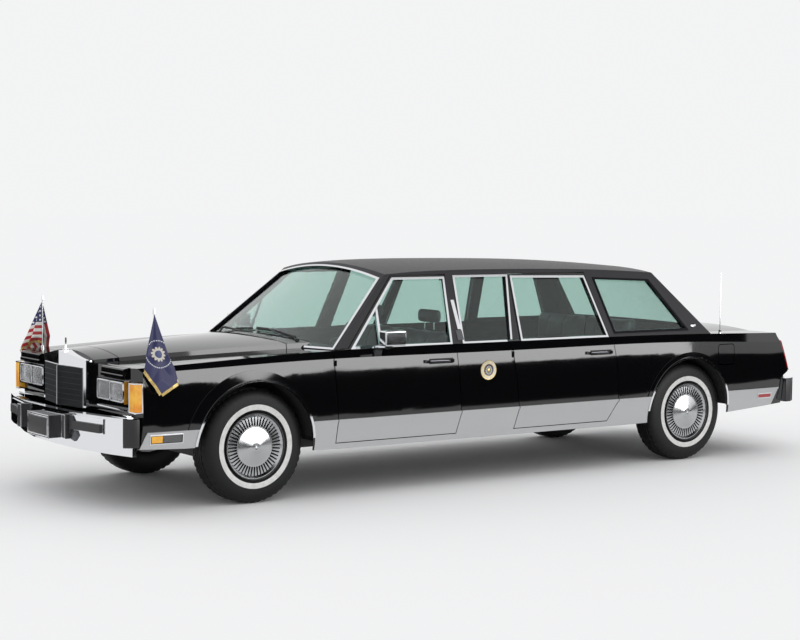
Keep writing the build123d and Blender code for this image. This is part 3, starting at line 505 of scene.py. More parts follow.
# The drape's run on a unit sphere round the hoist's top corner: along the car, outboard
DRAPE = (
    (0.0, 0.0), (-0.12, 0.035), (-0.26, 0.08), (-0.20, 0.13), (-0.12, 0.17), (-0.24, 0.20), (-0.33, 0.225),
    (-0.18, 0.27), (0.0, 0.285), (0.13, 0.275), (0.23, 0.25), (0.20, 0.20), (0.12, 0.16), (0.19, 0.12), (0.27, 0.10),
)


def drape_run():
    """Directions from the top corner and how far round the cloth each lies."""
    line = smooth_line([(a, b, 0) for a, b in DRAPE], 10)
    dirs = [Vector((p.y, p.x, -math.sqrt(max(0.05, 1 - p.x ** 2 - p.y ** 2)))) for p in line]
    arcs = [0.0]
    for a, b in zip(dirs, dirs[1:]):
        arcs.append(arcs[-1] + a.angle(b))
    return dirs, arcs


RUN_DIRS, RUN_ARCS = drape_run()


def flag_point(s, t, side):
    """Where the point s along the fly and t down the hoist hangs."""
    rho = math.hypot(s, t)
    phi = math.atan2(s, t) if rho > 1e-9 else 0
    want = phi / (math.pi / 2) * RUN_ARCS[-1]
    i = max(0, min(len(RUN_ARCS) - 2, next((k for k, a in enumerate(RUN_ARCS) if a >= want), len(RUN_ARCS) - 1) - 1))
    f = (want - RUN_ARCS[i]) / max(1e-9, RUN_ARCS[i + 1] - RUN_ARCS[i])
    d = RUN_DIRS[i].lerp(RUN_DIRS[i + 1], max(0, min(1, f)))
    ripple = 0.006 * math.sin(phi * 21) * min(1, rho / 0.2) * math.sin(math.pi * min(1, phi / 1.5))
    p = Vector((0.888 + d.x * rho + ripple, -2.918 + d.y * rho, 1.343 + d.z * rho))
    # Below the fender's shoulder the cloth hangs straight down, clear of the paint
    low = max(0.0, min(1.0, (1.07 - p.z) / 0.08))
    wall = 0.972 + 0.028 * max(0.0, d.x) / 0.3 + 0.006 * math.sin(phi * 17)
    if s > 0.02:
        p.x = p.x * (1 - low) + max(p.x, wall) * low if p.x < wall else p.x
        p.x = min(p.x, 1.022)
    p.x *= side
    return p


def flag_material(name, kind):
    """Cloth with its artwork worked out from the cloth's own flat coordinates."""
    mat = new_material(name, (0.01, 0.015, 0.2), 0.55, 0.0, Sheen_Weight=0.3)
    tree = mat.node_tree
    shader = tree.nodes["Principled BSDF"]
    uv = tree.nodes.new("ShaderNodeUVMap")
    uv.uv_map = "cloth"
    split = tree.nodes.new("ShaderNodeSeparateXYZ")
    tree.links.new(uv.outputs["UV"], split.inputs["Vector"])

    def op(kind_, a, b=None, c=None):
        node = tree.nodes.new("ShaderNodeMath")
        node.operation = kind_
        for socket, value in zip(node.inputs, (a, b, c)):
            if value is None:
                continue
            if isinstance(value, (int, float)):
                socket.default_value = value
            else:
                tree.links.new(value, socket)
        return node.outputs[0]

    def mix(fac, a, b):
        node = tree.nodes.new("ShaderNodeMix")
        node.data_type = "RGBA"
        tree.links.new(fac, node.inputs["Factor"])
        for socket, value in ((node.inputs[6], a), (node.inputs[7], b)):
            if isinstance(value, tuple):
                socket.default_value = (*value, 1)
            else:
                tree.links.new(value, socket)
        return node.outputs[2]

    u, v = split.outputs["X"], split.outputs["Y"]
    if kind == "stripes":
        band = op("GREATER_THAN", op("FRACT", op("MULTIPLY", v, 6.5)), 0.5)
        stripes = mix(band, (0.42, 0.01, 0.015), (0.78, 0.76, 0.72))
        canton = op("MULTIPLY", op("LESS_THAN", u, 0.4), op("LESS_THAN", v, 0.538))
        su = op("SUBTRACT", op("FRACT", op("MULTIPLY", u, 15)), 0.5)
        sv = op("SUBTRACT", op("FRACT", op("MULTIPLY", v, 9.3)), 0.5)
        dot = op("LESS_THAN", op("ADD", op("MULTIPLY", su, su), op("MULTIPLY", sv, sv)), 0.05)
        field = mix(dot, (0.012, 0.018, 0.10), (0.8, 0.8, 0.8))
        colour = mix(canton, stripes, field)
    else:
        du = op("MULTIPLY", op("SUBTRACT", u, 0.5), FLY)
        dv = op("MULTIPLY", op("SUBTRACT", v, 0.5), HOIST)
        far = op("SQRT", op("ADD", op("MULTIPLY", du, du), op("MULTIPLY", dv, dv)))
        angle = op("ARCTAN2", dv, du)
        ring = op("LESS_THAN", op("ABSOLUTE", op("SUBTRACT", far, 0.092)), 0.0035)
        beads = op("GREATER_THAN", op("SINE", op("MULTIPLY", angle, 40)), -0.1)
        petals = op("MULTIPLY", op("ABSOLUTE", op("SINE", op("MULTIPLY", angle, 6))), 0.016)
        inner = op("LESS_THAN", far, op("ADD", petals, 0.036))
        core = op("LESS_THAN", far, 0.026)
        colour = mix(op("MULTIPLY", ring, beads), (0.004, 0.006, 0.085), (0.75, 0.76, 0.8))
        colour = mix(inner, colour, (0.62, 0.58, 0.5))
        colour = mix(core, colour, (0.05, 0.07, 0.2))
    tree.links.new(colour, shader.inputs["Base Color"])
    bump(mat, noise(mat, 1400, 2), 0.3, 0.0004)
    return mat


def flag_grid(side, s0, s1, t0, t1, ns, nt):
    return [
        [flag_point(s0 + (s1 - s0) * i / ns, t0 + (t1 - t0) * j / nt, side) for i in range(ns + 1)]
        for j in range(nt + 1)
    ]


for side, label in SIDES:
    ns, nt = 90, 60
    verts, faces = grid(flag_grid(side, 0, FLY, 0, HOIST, ns, nt))
    cloth = make(f"flag_{label}", verts, faces, flag_material(f"flag_{label}", "stripes" if side < 0 else "field"),
                 "body", "flag_cloth", angle=180)
    layer = cloth.data.uv_layers.new(name="cloth")
    for loop in cloth.data.loops:
        index = loop.vertex_index
        layer.data[loop.index].uv = ((index % (ns + 1)) / ns, (index // (ns + 1)) / nt)
    fringe_verts, fringe_faces = [], []
    for edge in ("bottom", "fly"):
        total = 150 if edge == "bottom" else 100
        for k in range(total):
            f0, f1 = k / total, (k + 0.62) / total
            quad = []
            for f, out in ((f0, -0.003), (f1, -0.003), (f1, 0.017), (f0, 0.017)):
                if edge == "bottom":
                    quad.append(flag_point(f * FLY, HOIST + out, side))
                else:
                    quad.append(flag_point(FLY + out, f * HOIST, side))
            base = len(fringe_verts)
            for q in quad:
                fringe_verts.append(q + Vector((side * 0.0012, 0, 0)))
            fringe_faces.append((base, base + 1, base + 2, base + 3))
    fringe = make(f"flag_fringe_{label}", fringe_verts, fringe_faces, gold, "body", "flag_cloth")
    if side > 0:
        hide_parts("flags")
    # Spearhead finial and its sleeve
    lathe_z(
        f"staff_finial_{label}",
        [(0.0, 1.340), (0.0075, 1.341), (0.0085, 1.345), (0.005, 1.350), (0.0035, 1.353), (0.007, 1.358),
                (0.0062, 1.364),
         (0.002, 1.371), (0.0, 1.375)],
        16, (side * 0.881, -2.918), chrome, "body", "chrome",
    )


# ---------------------------------------------------------------- side details
# A darkened copy of chrome for the handle pulls: painted dark reflection
chrome_painted_dark = new_material("chrome_painted_dark", (0.10, 0.10, 0.11), 0.08, 1.0)
vary_rough(chrome_painted_dark, noise(chrome_painted_dark, 40), 0.05, 0.14)
CLAD = tree_of("side_cladding", "body_shell", "front_fenders", "rear_bumper")
GLASSHOUSE = tree_of("roof")


def patch(name, tree, ys, zs, rise, mats, body, slot, side=1, sink=0.0015, grow=0.0, **more):
    """A plate that follows the car's side between two lengths and two heights."""
    ny, nz = max(2, int((ys[1] - ys[0]) / 0.02)), max(2, int((zs[1] - zs[0]) / 0.02))
    top, low = [], []
    for j in range(nz + 1):
        z = zs[0] + (zs[1] - zs[0]) * j / nz
        row_top, row_low = [], []
        for i in range(ny + 1):
            y = ys[0] + (ys[1] - ys[0]) * i / ny
            hit = drop_on(tree, (1.4, y, z), (-1, 0, 0))
            x = hit.x if hit else 0.98
            row_top.append(Vector((side * (x + rise), y, z)))
            row_low.append(Vector((side * (x - sink), y, z)))
        top.append(row_top)
        low.append(row_low)
    verts, faces = grid(top)
    base = len(verts)
    lv, lf = grid(low)
    verts += lv
    faces += [tuple(base + k for k in f) for f in lf]
    n, m = ny + 1, nz + 1
    for i in range(ny):
        faces.append((i, i + 1, base + i + 1, base + i))
        k = (m - 1) * n
        faces.append((k + i, k + i + 1, base + k + i + 1, base + k + i))
    for j in range(nz):
        faces.append((j * n, (j + 1) * n, base + (j + 1) * n, base + j * n))
        faces.append((j * n + n - 1, (j + 1) * n + n - 1, base + (j + 1) * n + n - 1, base + j * n + n - 1))
    return make(name, verts, faces, mats, body, slot, **more)


def ring_patch(name, tree, ys, zs, width, rise, mats, body, slot, side=1):
    """Four narrow plates round an outline on the car's side, as one frame."""
    y0, y1 = ys
    z0, z1 = zs
    for tag, yy, zz in (
        ("low", (y0, y1), (z0, z0 + width)), ("top", (y0, y1), (z1 - width, z1)),
        ("front", (y0, y0 + width), (z0 + width, z1 - width)), ("rear", (y1 - width, y1), (z0 + width, z1 - width)),
    ):
        patch(f"{name}_{tag}", tree, yy, zz, rise, mats, body, slot, side)


for side, label in SIDES:
    # Cornering lamp in the front cladding, amber in front and smoked behind, and the red marker at the back
    patch(f"corner_lamp_bed_{label}", CLAD, (-2.975, -2.740), (0.478, 0.536), 0.0015, black_and_painted_shade, "body",
            "black_plastic", side)
    patch(f"corner_lamp_amber_{label}", CLAD, (-2.967, -2.888), (0.484, 0.530), 0.004, amber, "body",
            "amber_plastic", side)
    patch(f"corner_lamp_smoke_{label}", CLAD, (-2.884, -2.748), (0.484, 0.530), 0.0035, clear, "body",
            "clear_glass", side)
    ring_patch(f"corner_lamp_frame_{label}", CLAD, (-2.979, -2.736), (0.474, 0.538), 0.005, 0.0055, chrome,
            "body", "chrome", side)
    patch(f"rear_marker_{label}", CLAD, (2.784, 2.940), (0.477, 0.507), 0.004, red, "body", "red_plastic", side)
    ring_patch(f"rear_marker_frame_{label}", CLAD, (2.778, 2.946), (0.472, 0.512), 0.005, 0.0045, chrome,
            "body", "chrome", side)
    # Bright plate and lamp on the post behind the front door
    patch(f"post_plate_{label}", GLASSHOUSE, (-0.374, -0.343), (1.158, 1.372), 0.006, chrome, "body", "chrome", side)
    patch(f"post_lamp_{label}", GLASSHOUSE, (-0.396, -0.340), (1.080, 1.150), 0.006, grey_rubber, "body",
            "black_plastic", side)
    # Oval badge-free ornament low on the rear pillar
    hit = drop_on(GLASSHOUSE, (1.4, 2.055, 1.113), (-1, 0, 0))
    if hit:
        oval = [
            Vector((side * (hit.x + 0.001 - 0.45 * v), 2.055 + 0.030 * math.cos(t), 1.113 + v))
            for t, v in ((2 * math.pi * k / 28, 0.012 * math.sin(2 * math.pi * k / 28)) for k in range(28))
        ]
        prism(f"pillar_oval_{label}", oval, (side * 0.004, 0, 0.0016), chrome, "body", "chrome", bevel=0.0015)
    # Round medallion on the filler panel
    mx = side_x(-0.158, 0.85)
    lathe_x(
        f"medallion_{label}",
        [(mx - 0.001, 0.0735, 0), (mx + 0.002, 0.0735, 1), (mx + 0.0045, 0.0715, 1), (mx + 0.0045, 0.0685, 0),
         (mx + 0.0035, 0.066, 0), (mx + 0.0035, 0.049, 1), (mx + 0.0045, 0.048, 1), (mx + 0.0045, 0.045, 2),
         (mx + 0.0035, 0.043, 2), (mx + 0.0045, 0.012, 1), (mx + 0.0055, 0.009, 1), (mx + 0.006, 0.0, 1)],
        64, (-0.158, 0.85), [cream, gold, navy], "body", "chrome", side=side, closed=False,
    )
    petals = []
    for k in range(12):
        t = 2 * math.pi * k / 12
        a, b = 0.014, 0.037
        w = 0.0048
        c, s_ = math.cos(t), math.sin(t)
        petals.append([(a, 0), ((a + b) / 2, w), (b, 0), ((a + b) / 2, -w), c, s_])
    verts, faces = [], []
    for leaf in petals:
        c, s_ = leaf[4], leaf[5]
        base = len(verts)
        for lift, pts in ((0.0042, leaf[:4]), (0.0056, [((leaf[0][0] + leaf[2][0]) / 2, 0)])):
            for u, v in pts:
                verts.append(Vector((side * (mx + lift), -0.158 + u * c - v * s_, 0.85 + u * s_ + v * c)))
        for k in range(4):
            faces.append((base + k, base + (k + 1) % 4, base + 4))
    make(f"medallion_rosette_{label}", verts, faces, cream, "body", "chrome", angle=20)

# ---------------------------------------------------------------- door handles, mirrors
for side, label in SIDES:
    for door, y_mid in (("front", -0.622), ("rear", 0.950)):
        body = f"{door}_door_{label}"
        own = tree_of(f"{door}_door_left")
        # Painted shade: a matte near-black plate on the door stands in for the shade in the handle recess
        patch(f"{door}_handle_well_{label}", own, (y_mid - 0.088, y_mid + 0.132), (0.918, 0.957), 0.0012,
                black_and_painted_shade, body,
              "black_plastic", side)
        x0 = side_x(y_mid, 0.938)
        path = smooth_line(
            [(x0 + 0.002, y_mid - 0.125, 0.9405), (x0 + 0.016, y_mid - 0.112, 0.9405),
                    (x0 + 0.0225, y_mid - 0.06, 0.940),
             (x0 + 0.0235, y_mid + 0.02, 0.939), (x0 + 0.0225, y_mid + 0.075, 0.938),
                     (x0 + 0.014, y_mid + 0.092, 0.938),
             (x0 + 0.002, y_mid + 0.097, 0.938)], 5)
        path = [Vector((side * p.x, p.y, p.z)) for p in path]
        # The pull is chrome darkened in its colour: painted dark reflection
        sweep(f"{door}_handle_pull_{label}", path, rounded(0.0055, 0.0085, 0.004), chrome_painted_dark, body, "chrome")
        key_x = x0 + 0.002
        lathe_x(
            f"{door}_key_barrel_{label}",
            [(key_x, 0.012, 0), (key_x + 0.004, 0.012, 0), (key_x + 0.0055, 0.0105, 0), (key_x + 0.0055, 0.0, 0)],
            24, (y_mid + 0.115, 0.938), chrome, body, "chrome", side=side, closed=False,
        )
    body = f"front_door_{label}"
    # Mirror glass in its frame on the case's rear face, and the arm's foot
    prism(
        f"mirror_glass_{label}",
        [(side * x, -1.0195, z) for x, z in ((1.050, 1.088), (1.118, 1.088), (1.118, 1.173), (1.050, 1.173))],
        (0, 0.002, 0), reflector, body, "chrome", bevel=0.0008,
    )
    arm = [Vector((side * x, y, z)) for x, y, z in
           ((0.955, -1.150, 1.060), (0.985, -1.138, 1.062), (1.020, -1.125, 1.068), (1.050, -1.110, 1.082))]
    sweep(f"mirror_arm_{label}", smooth_line(arm, 5), rounded(0.017, 0.009, 0.007), chrome, body, "chrome")

# Painted barrels that fill the hinge notches at the doors' front edges, each on its door's axis
for side, label in SIDES:
    for door, y in (("front", -1.545), ("rear", 0.071)):
        lathe_z(f"{door}_hinge_barrel_{label}", [(0.0, 0.9345), (0.0062, 0.9350), (0.0068, 0.9365),
                (0.0068, 0.9835), (0.0062, 0.9850), (0.0, 0.9855)],
                24, (side * 0.9815, y), paint, "body", "black_paint")

# ---------------------------------------------------------------- nose
# Headlamps: a bright bowl under a fluted cover glass in each opening
lamp_pieces = []
for side, label in SIDES:
    for tag, x0, x1 in (("inner", 0.450, 0.628), ("outer", 0.642, 0.820)):
        cx, cz = (x0 + x1) / 2, 0.818
        rings = []
        for depth, sx, sz in ((0.0, 0.0875, 0.0585), (0.010, 0.084, 0.056), (0.030, 0.060, 0.042),
                (0.036, 0.02, 0.018)):
            rings.append([
                Vector((side * (cx + u), -3.109 + depth, cz + v)) for u, v in rounded(sx, sz, min(sx, sz) * 0.35, 4)
            ])
        verts, faces = grid(rings, closed_u=True)
        n = len(rings[0])
        faces.append(tuple(range(len(verts) - n, len(verts))))
        bowl = make(f"headlamp_bowl_{tag}_{label}", verts, faces, reflector, "body", "chrome")
        cover = prism(
            f"headlamp_cover_{tag}_{label}",
            [(side * (cx + u), -3.1145, cz + v) for u, v in rounded(0.0885, 0.0595, 0.012, 4)], (0, 0.004, 0),
            clear, "body", "clear_glass", bevel=0.001,
        )
        lamp_pieces += [bowl, cover]
        sweep(
            f"headlamp_ring_{tag}_{label}",
            [(side * (cx + u), -3.117, cz + v) for u, v in rounded(0.0925, 0.0635, 0.014, 4)],
            rounded(0.004, 0.0045, 0.0015, 2), chrome, "body", "chrome", up=(0, 1, 0), closed=True,
        )
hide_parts("headlamp_lenses")

# Grille: level lines across the bars, a bright ridge, and a thin inner frame
for k in range(6):
    z = 0.712 + 0.038 * k
    line = [(-0.298, -3.1635, z), (0.0, -3.2055, z), (0.298, -3.1635, z)]
    sweep(f"grille_line_{k}", line, rounded(0.0016, 0.0013, 0.0006, 1), grille_grey, "body", "grille_grey")
sweep("grille_ridge", [(0, -3.2095, 0.668), (0, -3.2095, 0.940)], rounded(0.005, 0.004, 0.002, 2), brushed,
        "body", "chrome",
      up=(0, 1, 0))
frame_line = [(-0.303, -3.155, 0.664), (-0.303, -3.155, 0.944), (0, -3.197, 0.944), (0.303, -3.155, 0.944),
        (0.303, -3.155, 0.664)]
sweep("grille_inner_frame", frame_line, rounded(0.004, 0.003, 0.0015, 2), chrome, "body", "chrome", up=(0, 1, 0))

# Plate box: a grey border round a plain dark plate
border = [(-0.158, -3.3545, 0.470), (0.158, -3.3545, 0.470), (0.158, -3.3545, 0.598), (-0.158, -3.3545, 0.598)]
sweep("plate_border", border, rounded(0.0055, 0.003, 0.002, 2), chrome, "body", "chrome", up=(0, 1, 0), closed=True)
prism("plate_blank", [(x * 0.94, -3.3535, 0.534 + (z - 0.534) * 0.9) for x, _, z in border], (0, -0.0015, 0),
        black_rubber,
      "body", "black_plastic", bevel=0.0006)
border_out = [(-0.170, -3.3525, 0.457), (0.170, -3.3525, 0.457), (0.170, -3.3525, 0.611), (-0.170, -3.3525, 0.611)]
sweep("plate_box_rim", border_out, rounded(0.0035, 0.003, 0.0015, 2), chrome, "body", "chrome", up=(0, 1, 0),
        closed=True)

for side, label in SIDES:
    # Bright edge round each corner lamp, and a bright rim down each bumper guard
    lamp_edge = [(side * 0.8835, -3.0995, 0.6935), (side * 0.954, -3.097, 0.6935), (side * 0.9575, -3.040, 0.6935),
                 (side * 0.9575, -3.040, 0.8865), (side * 0.954, -3.097, 0.8865), (side * 0.8835, -3.0995, 0.8865)]
    sweep(f"corner_lamp_rim_{label}", lamp_edge, rounded(0.004, 0.0035, 0.0015, 2), chrome, "body", "chrome",
          up=(side * 0.5, -0.86, 0), closed=True)
    gx0, gx1 = 0.338, 0.391
    guard = [(side * gx0, -3.3315, 0.480), (side * gx1, -3.3315, 0.480), (side * gx1, -3.3315, 0.638),
            (side * gx0, -3.3315, 0.638)]
    sweep(f"guard_rim_{label}", guard, rounded(0.003, 0.0025, 0.001, 2), chrome, "body", "chrome", up=(0, 1, 0),
            closed=True)
    # Faceted rubber filler between guard and rub strip
    wedge = [(side * 0.394, -3.3105, 0.505), (side * 0.455, -3.289, 0.600), (side * 0.430, -3.296, 0.632),
            (side * 0.394, -3.310, 0.640)]
    prism(f"guard_facet_{label}", wedge, (0, 0.03, 0), black_rubber, "body", "black_rubber", bevel=0.003)
    gem = [(side * 0.400, -3.296, 0.475), (side * 0.440, -3.287, 0.462), (side * 0.478, -3.279, 0.505),
            (side * 0.452, -3.286, 0.545)]
    prism(f"guard_gem_{label}", gem, (0, 0.02, 0), grey_rubber, "body", "black_rubber", bevel=0.004)
    # Black rubber ends of both bumpers
    front_end = [(0.9085, -3.159), (0.948, -3.107), (0.956, -3.061), (0.948, -3.061), (0.940, -3.104), (0.903, -3.153)]
    prism(f"front_bumper_end_{label}", [(side * x, y, 0.462) for x, y in front_end], (0, 0, 0.186),
            black_rubber, "body",
          "black_rubber", bevel=0.002)
    rear_end = [(0.9885, 3.094), (0.9895, 3.152), (0.960, 3.200), (0.952, 3.190), (0.980, 3.148), (0.980, 3.094)]
    prism(f"rear_bumper_end_{label}", [(side * x, y, 0.434) for x, y in rear_end], (0, 0, 0.192), black_rubber, "body",
          "black_rubber", bevel=0.002)


# ---------------------------------------------------------------- padded seats
PAD_VOXEL = 0.016
PAD_INSET = 0.016
PAD_SWELL = 0.024
# The pads are shaped in a scene of their own, so that each step works out nothing else
LAB = bpy.data.scenes.new("pad_lab")


def padded_block(name, low, high, slant=0.0, channels=(), across=(), depth=0.011):
    """A cushion between two corners: slant moves its top back, and channels are sewn lines along or across it."""
    low, high = Vector(low), Vector(high)
    size = high - low
    mid = (low + high) / 2
    bm = bmesh.new()
    bmesh.ops.create_cube(bm, size=1)
    for v in bm.verts:
        v.co = Vector((v.co.x * (size.x - 2 * PAD_INSET), v.co.y * (size.y - 2 * PAD_INSET),
                v.co.z * (size.z - 2 * PAD_INSET)))
    reach = min(size) * 0.26
    bmesh.ops.bevel(bm, geom=list(bm.edges), offset=reach, segments=4, profile=0.6, affect="EDGES", clamp_overlap=True)
    mesh = bpy.data.meshes.new(name)
    bm.to_mesh(mesh)
    bm.free()
    mesh.materials.append(leather)
    pad = bpy.data.objects.new(name, mesh)
    LAB.collection.objects.link(pad)
    remesh = pad.modifiers.new("remesh", "REMESH")
    remesh.mode = "VOXEL"
    remesh.voxel_size = PAD_VOXEL
    settle(pad)
    swell(pad)
    fine = pad.modifiers.new("fine", "SUBSURF")
    fine.levels = 1
    settle(pad)
    verts = pad.data.vertices
    spots = [(v.co.copy(), v.normal.copy()) for v in verts]
    placed = []
    for co, normal in spots:
        dip = 0.0
        for x in channels:
            dip = max(dip, math.exp(-((co.x - (x - mid.x)) / 0.009) ** 2))
        for t in across:
            along = co.z if size.z > size.y else co.y
            dip = max(dip, math.exp(-((along - t) / 0.009) ** 2))
        face = normal.z if size.z <= size.y else -normal.y
        if dip and face > 0.2:
            co = co - normal * dip * depth * min(1, face * 1.4)
        placed.extend(co + mid + Vector((0, slant * (co.z / size.z + 0.5), 0)))
    verts.foreach_set("co", placed)
    pad.data.update()
    pad.data.shade_smooth()
    LAB.collection.objects.unlink(pad)
    bpy.context.scene.collection.objects.link(pad)
    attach(pad, "body")
    return pad


def settle(obj):
    """Apply an object's modifiers to its mesh."""
    with bpy.context.temp_override(scene=LAB, view_layer=LAB.view_layers[0]):
        graph = bpy.context.evaluated_depsgraph_get()
        done = bpy.data.meshes.new_from_object(obj.evaluated_get(graph))
    obj.modifiers.clear()
    old = obj.data
    obj.data = done
    bpy.data.meshes.remove(old)


def swell(obj):
    """Blow a closed skin up with cloth pressure and cap how far each point moves."""
    rest = [v.co.copy() for v in obj.data.vertices]
    cloth = obj.modifiers.new("cloth", "CLOTH")
    cloth.settings.use_pressure = True
    cloth.settings.uniform_pressure_force = 4.0
    cloth.settings.effector_weights.gravity = 0.0
    cloth.settings.quality = 4
    cloth.point_cache.frame_start = 1
    cloth.point_cache.frame_end = 20
    for step in range(1, 21):
        LAB.frame_set(step)
    settle(obj)
    LAB.frame_set(1)
    for v, home in zip(obj.data.vertices, rest):
        move = v.co - home
        if move.length > PAD_SWELL:
            v.co = home + move.normalized() * PAD_SWELL


def piping(name, low, high, z, radius=0.05, slant=0.0):
    """A thin welt round a seat cushion."""
    mid = ((low[0] + high[0]) / 2, (low[1] + high[1]) / 2)
    ring = rounded((high[0] - low[0]) / 2, (high[1] - low[1]) / 2, radius, 5)
    sweep(name, [(mid[0] + u, mid[1] + v, z) for u, v in ring], circle(0.004, 8), leather, "body", "seat_leather",
          closed=True)


seat_pads, bench_pads, jump_pads = [], [], []
for side, label in SIDES:
    x0, x1 = sorted((side * 0.07, side * 0.70))
    mid = (x0 + x1) / 2
    seat_pads.append(padded_block(f"front_cushion_{label}", (x0, -0.92, 0.44), (x1, -0.43, 0.60),
                                  channels=(mid - 0.11, mid + 0.11), across=(-0.10, 0.06)))
    seat_pads.append(padded_block(f"front_back_{label}", (x0, -0.474, 0.575), (x1, -0.344, 1.15), slant=0.115,
                                  channels=(mid - 0.11, mid + 0.11), across=(0.05, -0.12)))
    seat_pads.append(padded_block(f"front_headrest_{label}", (x0 + 0.17, -0.315, 1.160), (x1 - 0.17, -0.225, 1.29)))
    for u in (-0.06, 0.06):
        sweep(f"headrest_post_{label}_{'a' if u < 0 else 'b'}", [(mid + u, -0.270, 1.12), (mid + u, -0.270, 1.20)],
              circle(0.006, 10), chrome, "body", "chrome", up=(0, 1, 0))
    base = [(x0 + 0.03, y, z) for y, z in ((-0.90, 0.413), (-0.44, 0.413), (-0.44, 0.452), (-0.90, 0.452))]
    prism(f"front_seat_base_{label}", base, (x1 - x0 - 0.06, 0, 0), interior, "body", "interior_plastic", bevel=0.008)
    piping(f"front_welt_{label}", (x0 + 0.012, -0.908), (x1 - 0.012, -0.442), 0.566)
    x0, x1 = sorted((side * 0.09, side * 0.64))
    mid = (x0 + x1) / 2
    jump_pads.append(padded_block(f"jump_cushion_{label}", (x0, -0.095, 0.47), (x1, 0.325, 0.60),
            channels=(mid - 0.09, mid + 0.09)))
    jump_pads.append(padded_block(f"jump_back_{label}", (x0, -0.188, 0.60), (x1, -0.092, 1.13),
            channels=(mid - 0.09, mid + 0.09)))
    base = [(x0 + 0.02, y, z) for y, z in ((-0.17, 0.413), (0.30, 0.413), (0.30, 0.482), (-0.17, 0.482))]
    prism(f"jump_seat_base_{label}", base, (x1 - x0 - 0.04, 0, 0), interior, "body", "interior_plastic", bevel=0.01)
    bx0, bx1 = sorted((side * 0.012, side * 0.61))
    mid = (bx0 + bx1) / 2
    bench_pads.append(padded_block(f"bench_cushion_{label}", (bx0, 1.09, 0.53), (bx1, 1.60, 0.70),
                                   channels=(mid - 0.1, mid + 0.1), across=(-0.1, 0.06)))
    bench_pads.append(padded_block(f"bench_back_{label}", (bx0, 1.552, 0.665), (bx1, 1.690, 1.18), slant=0.07,
                                   channels=(mid - 0.1, mid + 0.1), across=(0.02, -0.14)))
bench_plinth = [(-0.60, y, z) for y, z in ((1.10, 0.413), (1.46, 0.413), (1.46, 0.545), (1.10, 0.545))]
prism("bench_base", bench_plinth, (1.20, 0, 0), carpet, "body", "interior_plastic", bevel=0.01)
bpy.data.scenes.remove(LAB)
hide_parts("front_seats")
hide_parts("jump_seats")
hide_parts("rear_bench")

# ---------------------------------------------------------------- wipers and cowl
SCREEN = tree_of("fixed_glass")


def on_screen(x, t, lift):
    """A point on the windscreen: t runs from its lower edge up."""
    y = -1.575 + 0.60 * t
    hit = drop_on(SCREEN, (x, y, 2.0), (0, 0, -1))
    z = hit.z if hit else 1.06 + 0.56 * t
    return Vector((x, y - lift * 0.66, z + lift * 0.75))


for tag, pivot, far in (("driver", 0.52, -0.10), ("passenger", -0.10, -0.72)):
    start = on_screen(pivot, 0.035, 0.012)
    arm = smooth_line([start, on_screen((pivot * 2 + far) / 3, 0.055, 0.026),
            on_screen((pivot + far * 2) / 3, 0.075, 0.030),
                       on_screen(far * 0.72 + pivot * 0.28, 0.082, 0.026)], 4)
    sweep(f"wiper_arm_{tag}", arm, rounded(0.006, 0.003, 0.002, 2), black_rubber, "body", "black_rubber")
    blade = [on_screen(far + (pivot - far) * k / 10 * 0.92, 0.088 - 0.001 * k, 0.010) for k in range(11)]
    sweep(f"wiper_blade_{tag}", blade, rounded(0.004, 0.009, 0.003, 2), black_rubber, "body", "black_rubber")
    lathe_z(f"wiper_pivot_{tag}", [(0.0, start.z + 0.018), (0.012, start.z + 0.016), (0.016, start.z + 0.008),
            (0.016, start.z - 0.012)],
            20, (start.x, start.y), black_plastic, "body", "black_plastic")

# ---------------------------------------------------------------- instrument panel
prism("instrument_hood", [(0.13, -1.262, 0.905), (0.13, -1.420, 0.905), (0.13, -1.420, 1.050),
        (0.13, -1.250, 1.042), (0.13, -1.262, 0.985)],
      (0.52, 0, 0), interior, "body", "interior_plastic", bevel=0.01)
dash_glass = new_material("instrument_glass", (0.006, 0.007, 0.008), 0.08)
vary_rough(dash_glass, noise(dash_glass, 12), 0.05, 0.12)
prism("instrument_glass", [(0.15, -1.2565, 0.915), (0.15, -1.2525, 0.975), (0.63, -1.2525, 0.975),
        (0.63, -1.2565, 0.915)],
      (0, 0.002, 0), dash_glass, "body", "interior_plastic", bevel=0.001)
wood = new_material("dash_wood", (0.16, 0.06, 0.025), 0.25, 0.0, Coat_Weight=0.5)
vary_colour(wood, noise(wood, 30, 6, (0.3, 4, 4)), (0.10, 0.035, 0.014), (0.24, 0.10, 0.04))
prism("dash_wood_strip", [(-0.82, -1.2485, 0.790), (0.82, -1.2485, 0.790), (0.82, -1.2485, 0.862),
        (-0.82, -1.2485, 0.862)],
      (0, 0.006, 0), wood, "body", "interior_plastic", bevel=0.0015)
for k, x in enumerate((-0.76, -0.30, 0.07, 0.76)):
    for j in range(4):
        z = 0.934 + 0.010 * j
        prism(f"dash_vent_{k}_{j}", [(x - 0.045, -1.2480, z), (x + 0.045, -1.2480, z),
                (x + 0.045, -1.2480, z + 0.005), (x - 0.045, -1.2480, z + 0.005)],
              (0, 0.008, 0), grille_grey, "body", "interior_plastic", bevel=0.0008)
hub_line = (380 / 1000, -1.020, 0.905)
prism("steering_pad", [(hub_line[0] + u, hub_line[1] + 0.014 + 0.47 * v, hub_line[2] + 0.008 + 0.88 * v) for u,
        v in rounded(0.075, 0.045, 0.02, 4)],
      (0, 0.018, -0.0), interior, "body" if "steering_wheel" not in frame["bodies"] else "steering_wheel",
              "interior_plastic", bevel=0.006)

# ---------------------------------------------------------------- tail
TAIL = tree_of("body_shell", "trunk_lid", "tail_lamps")


def on_tail(x, z, lift=0.0):
    """A point on the rear panel, stood off by lift."""
    hit = drop_on(TAIL, (x, 3.6, z), (0, -1, 0))
    return Vector((x, (hit.y if hit else 3.10) + lift, z))


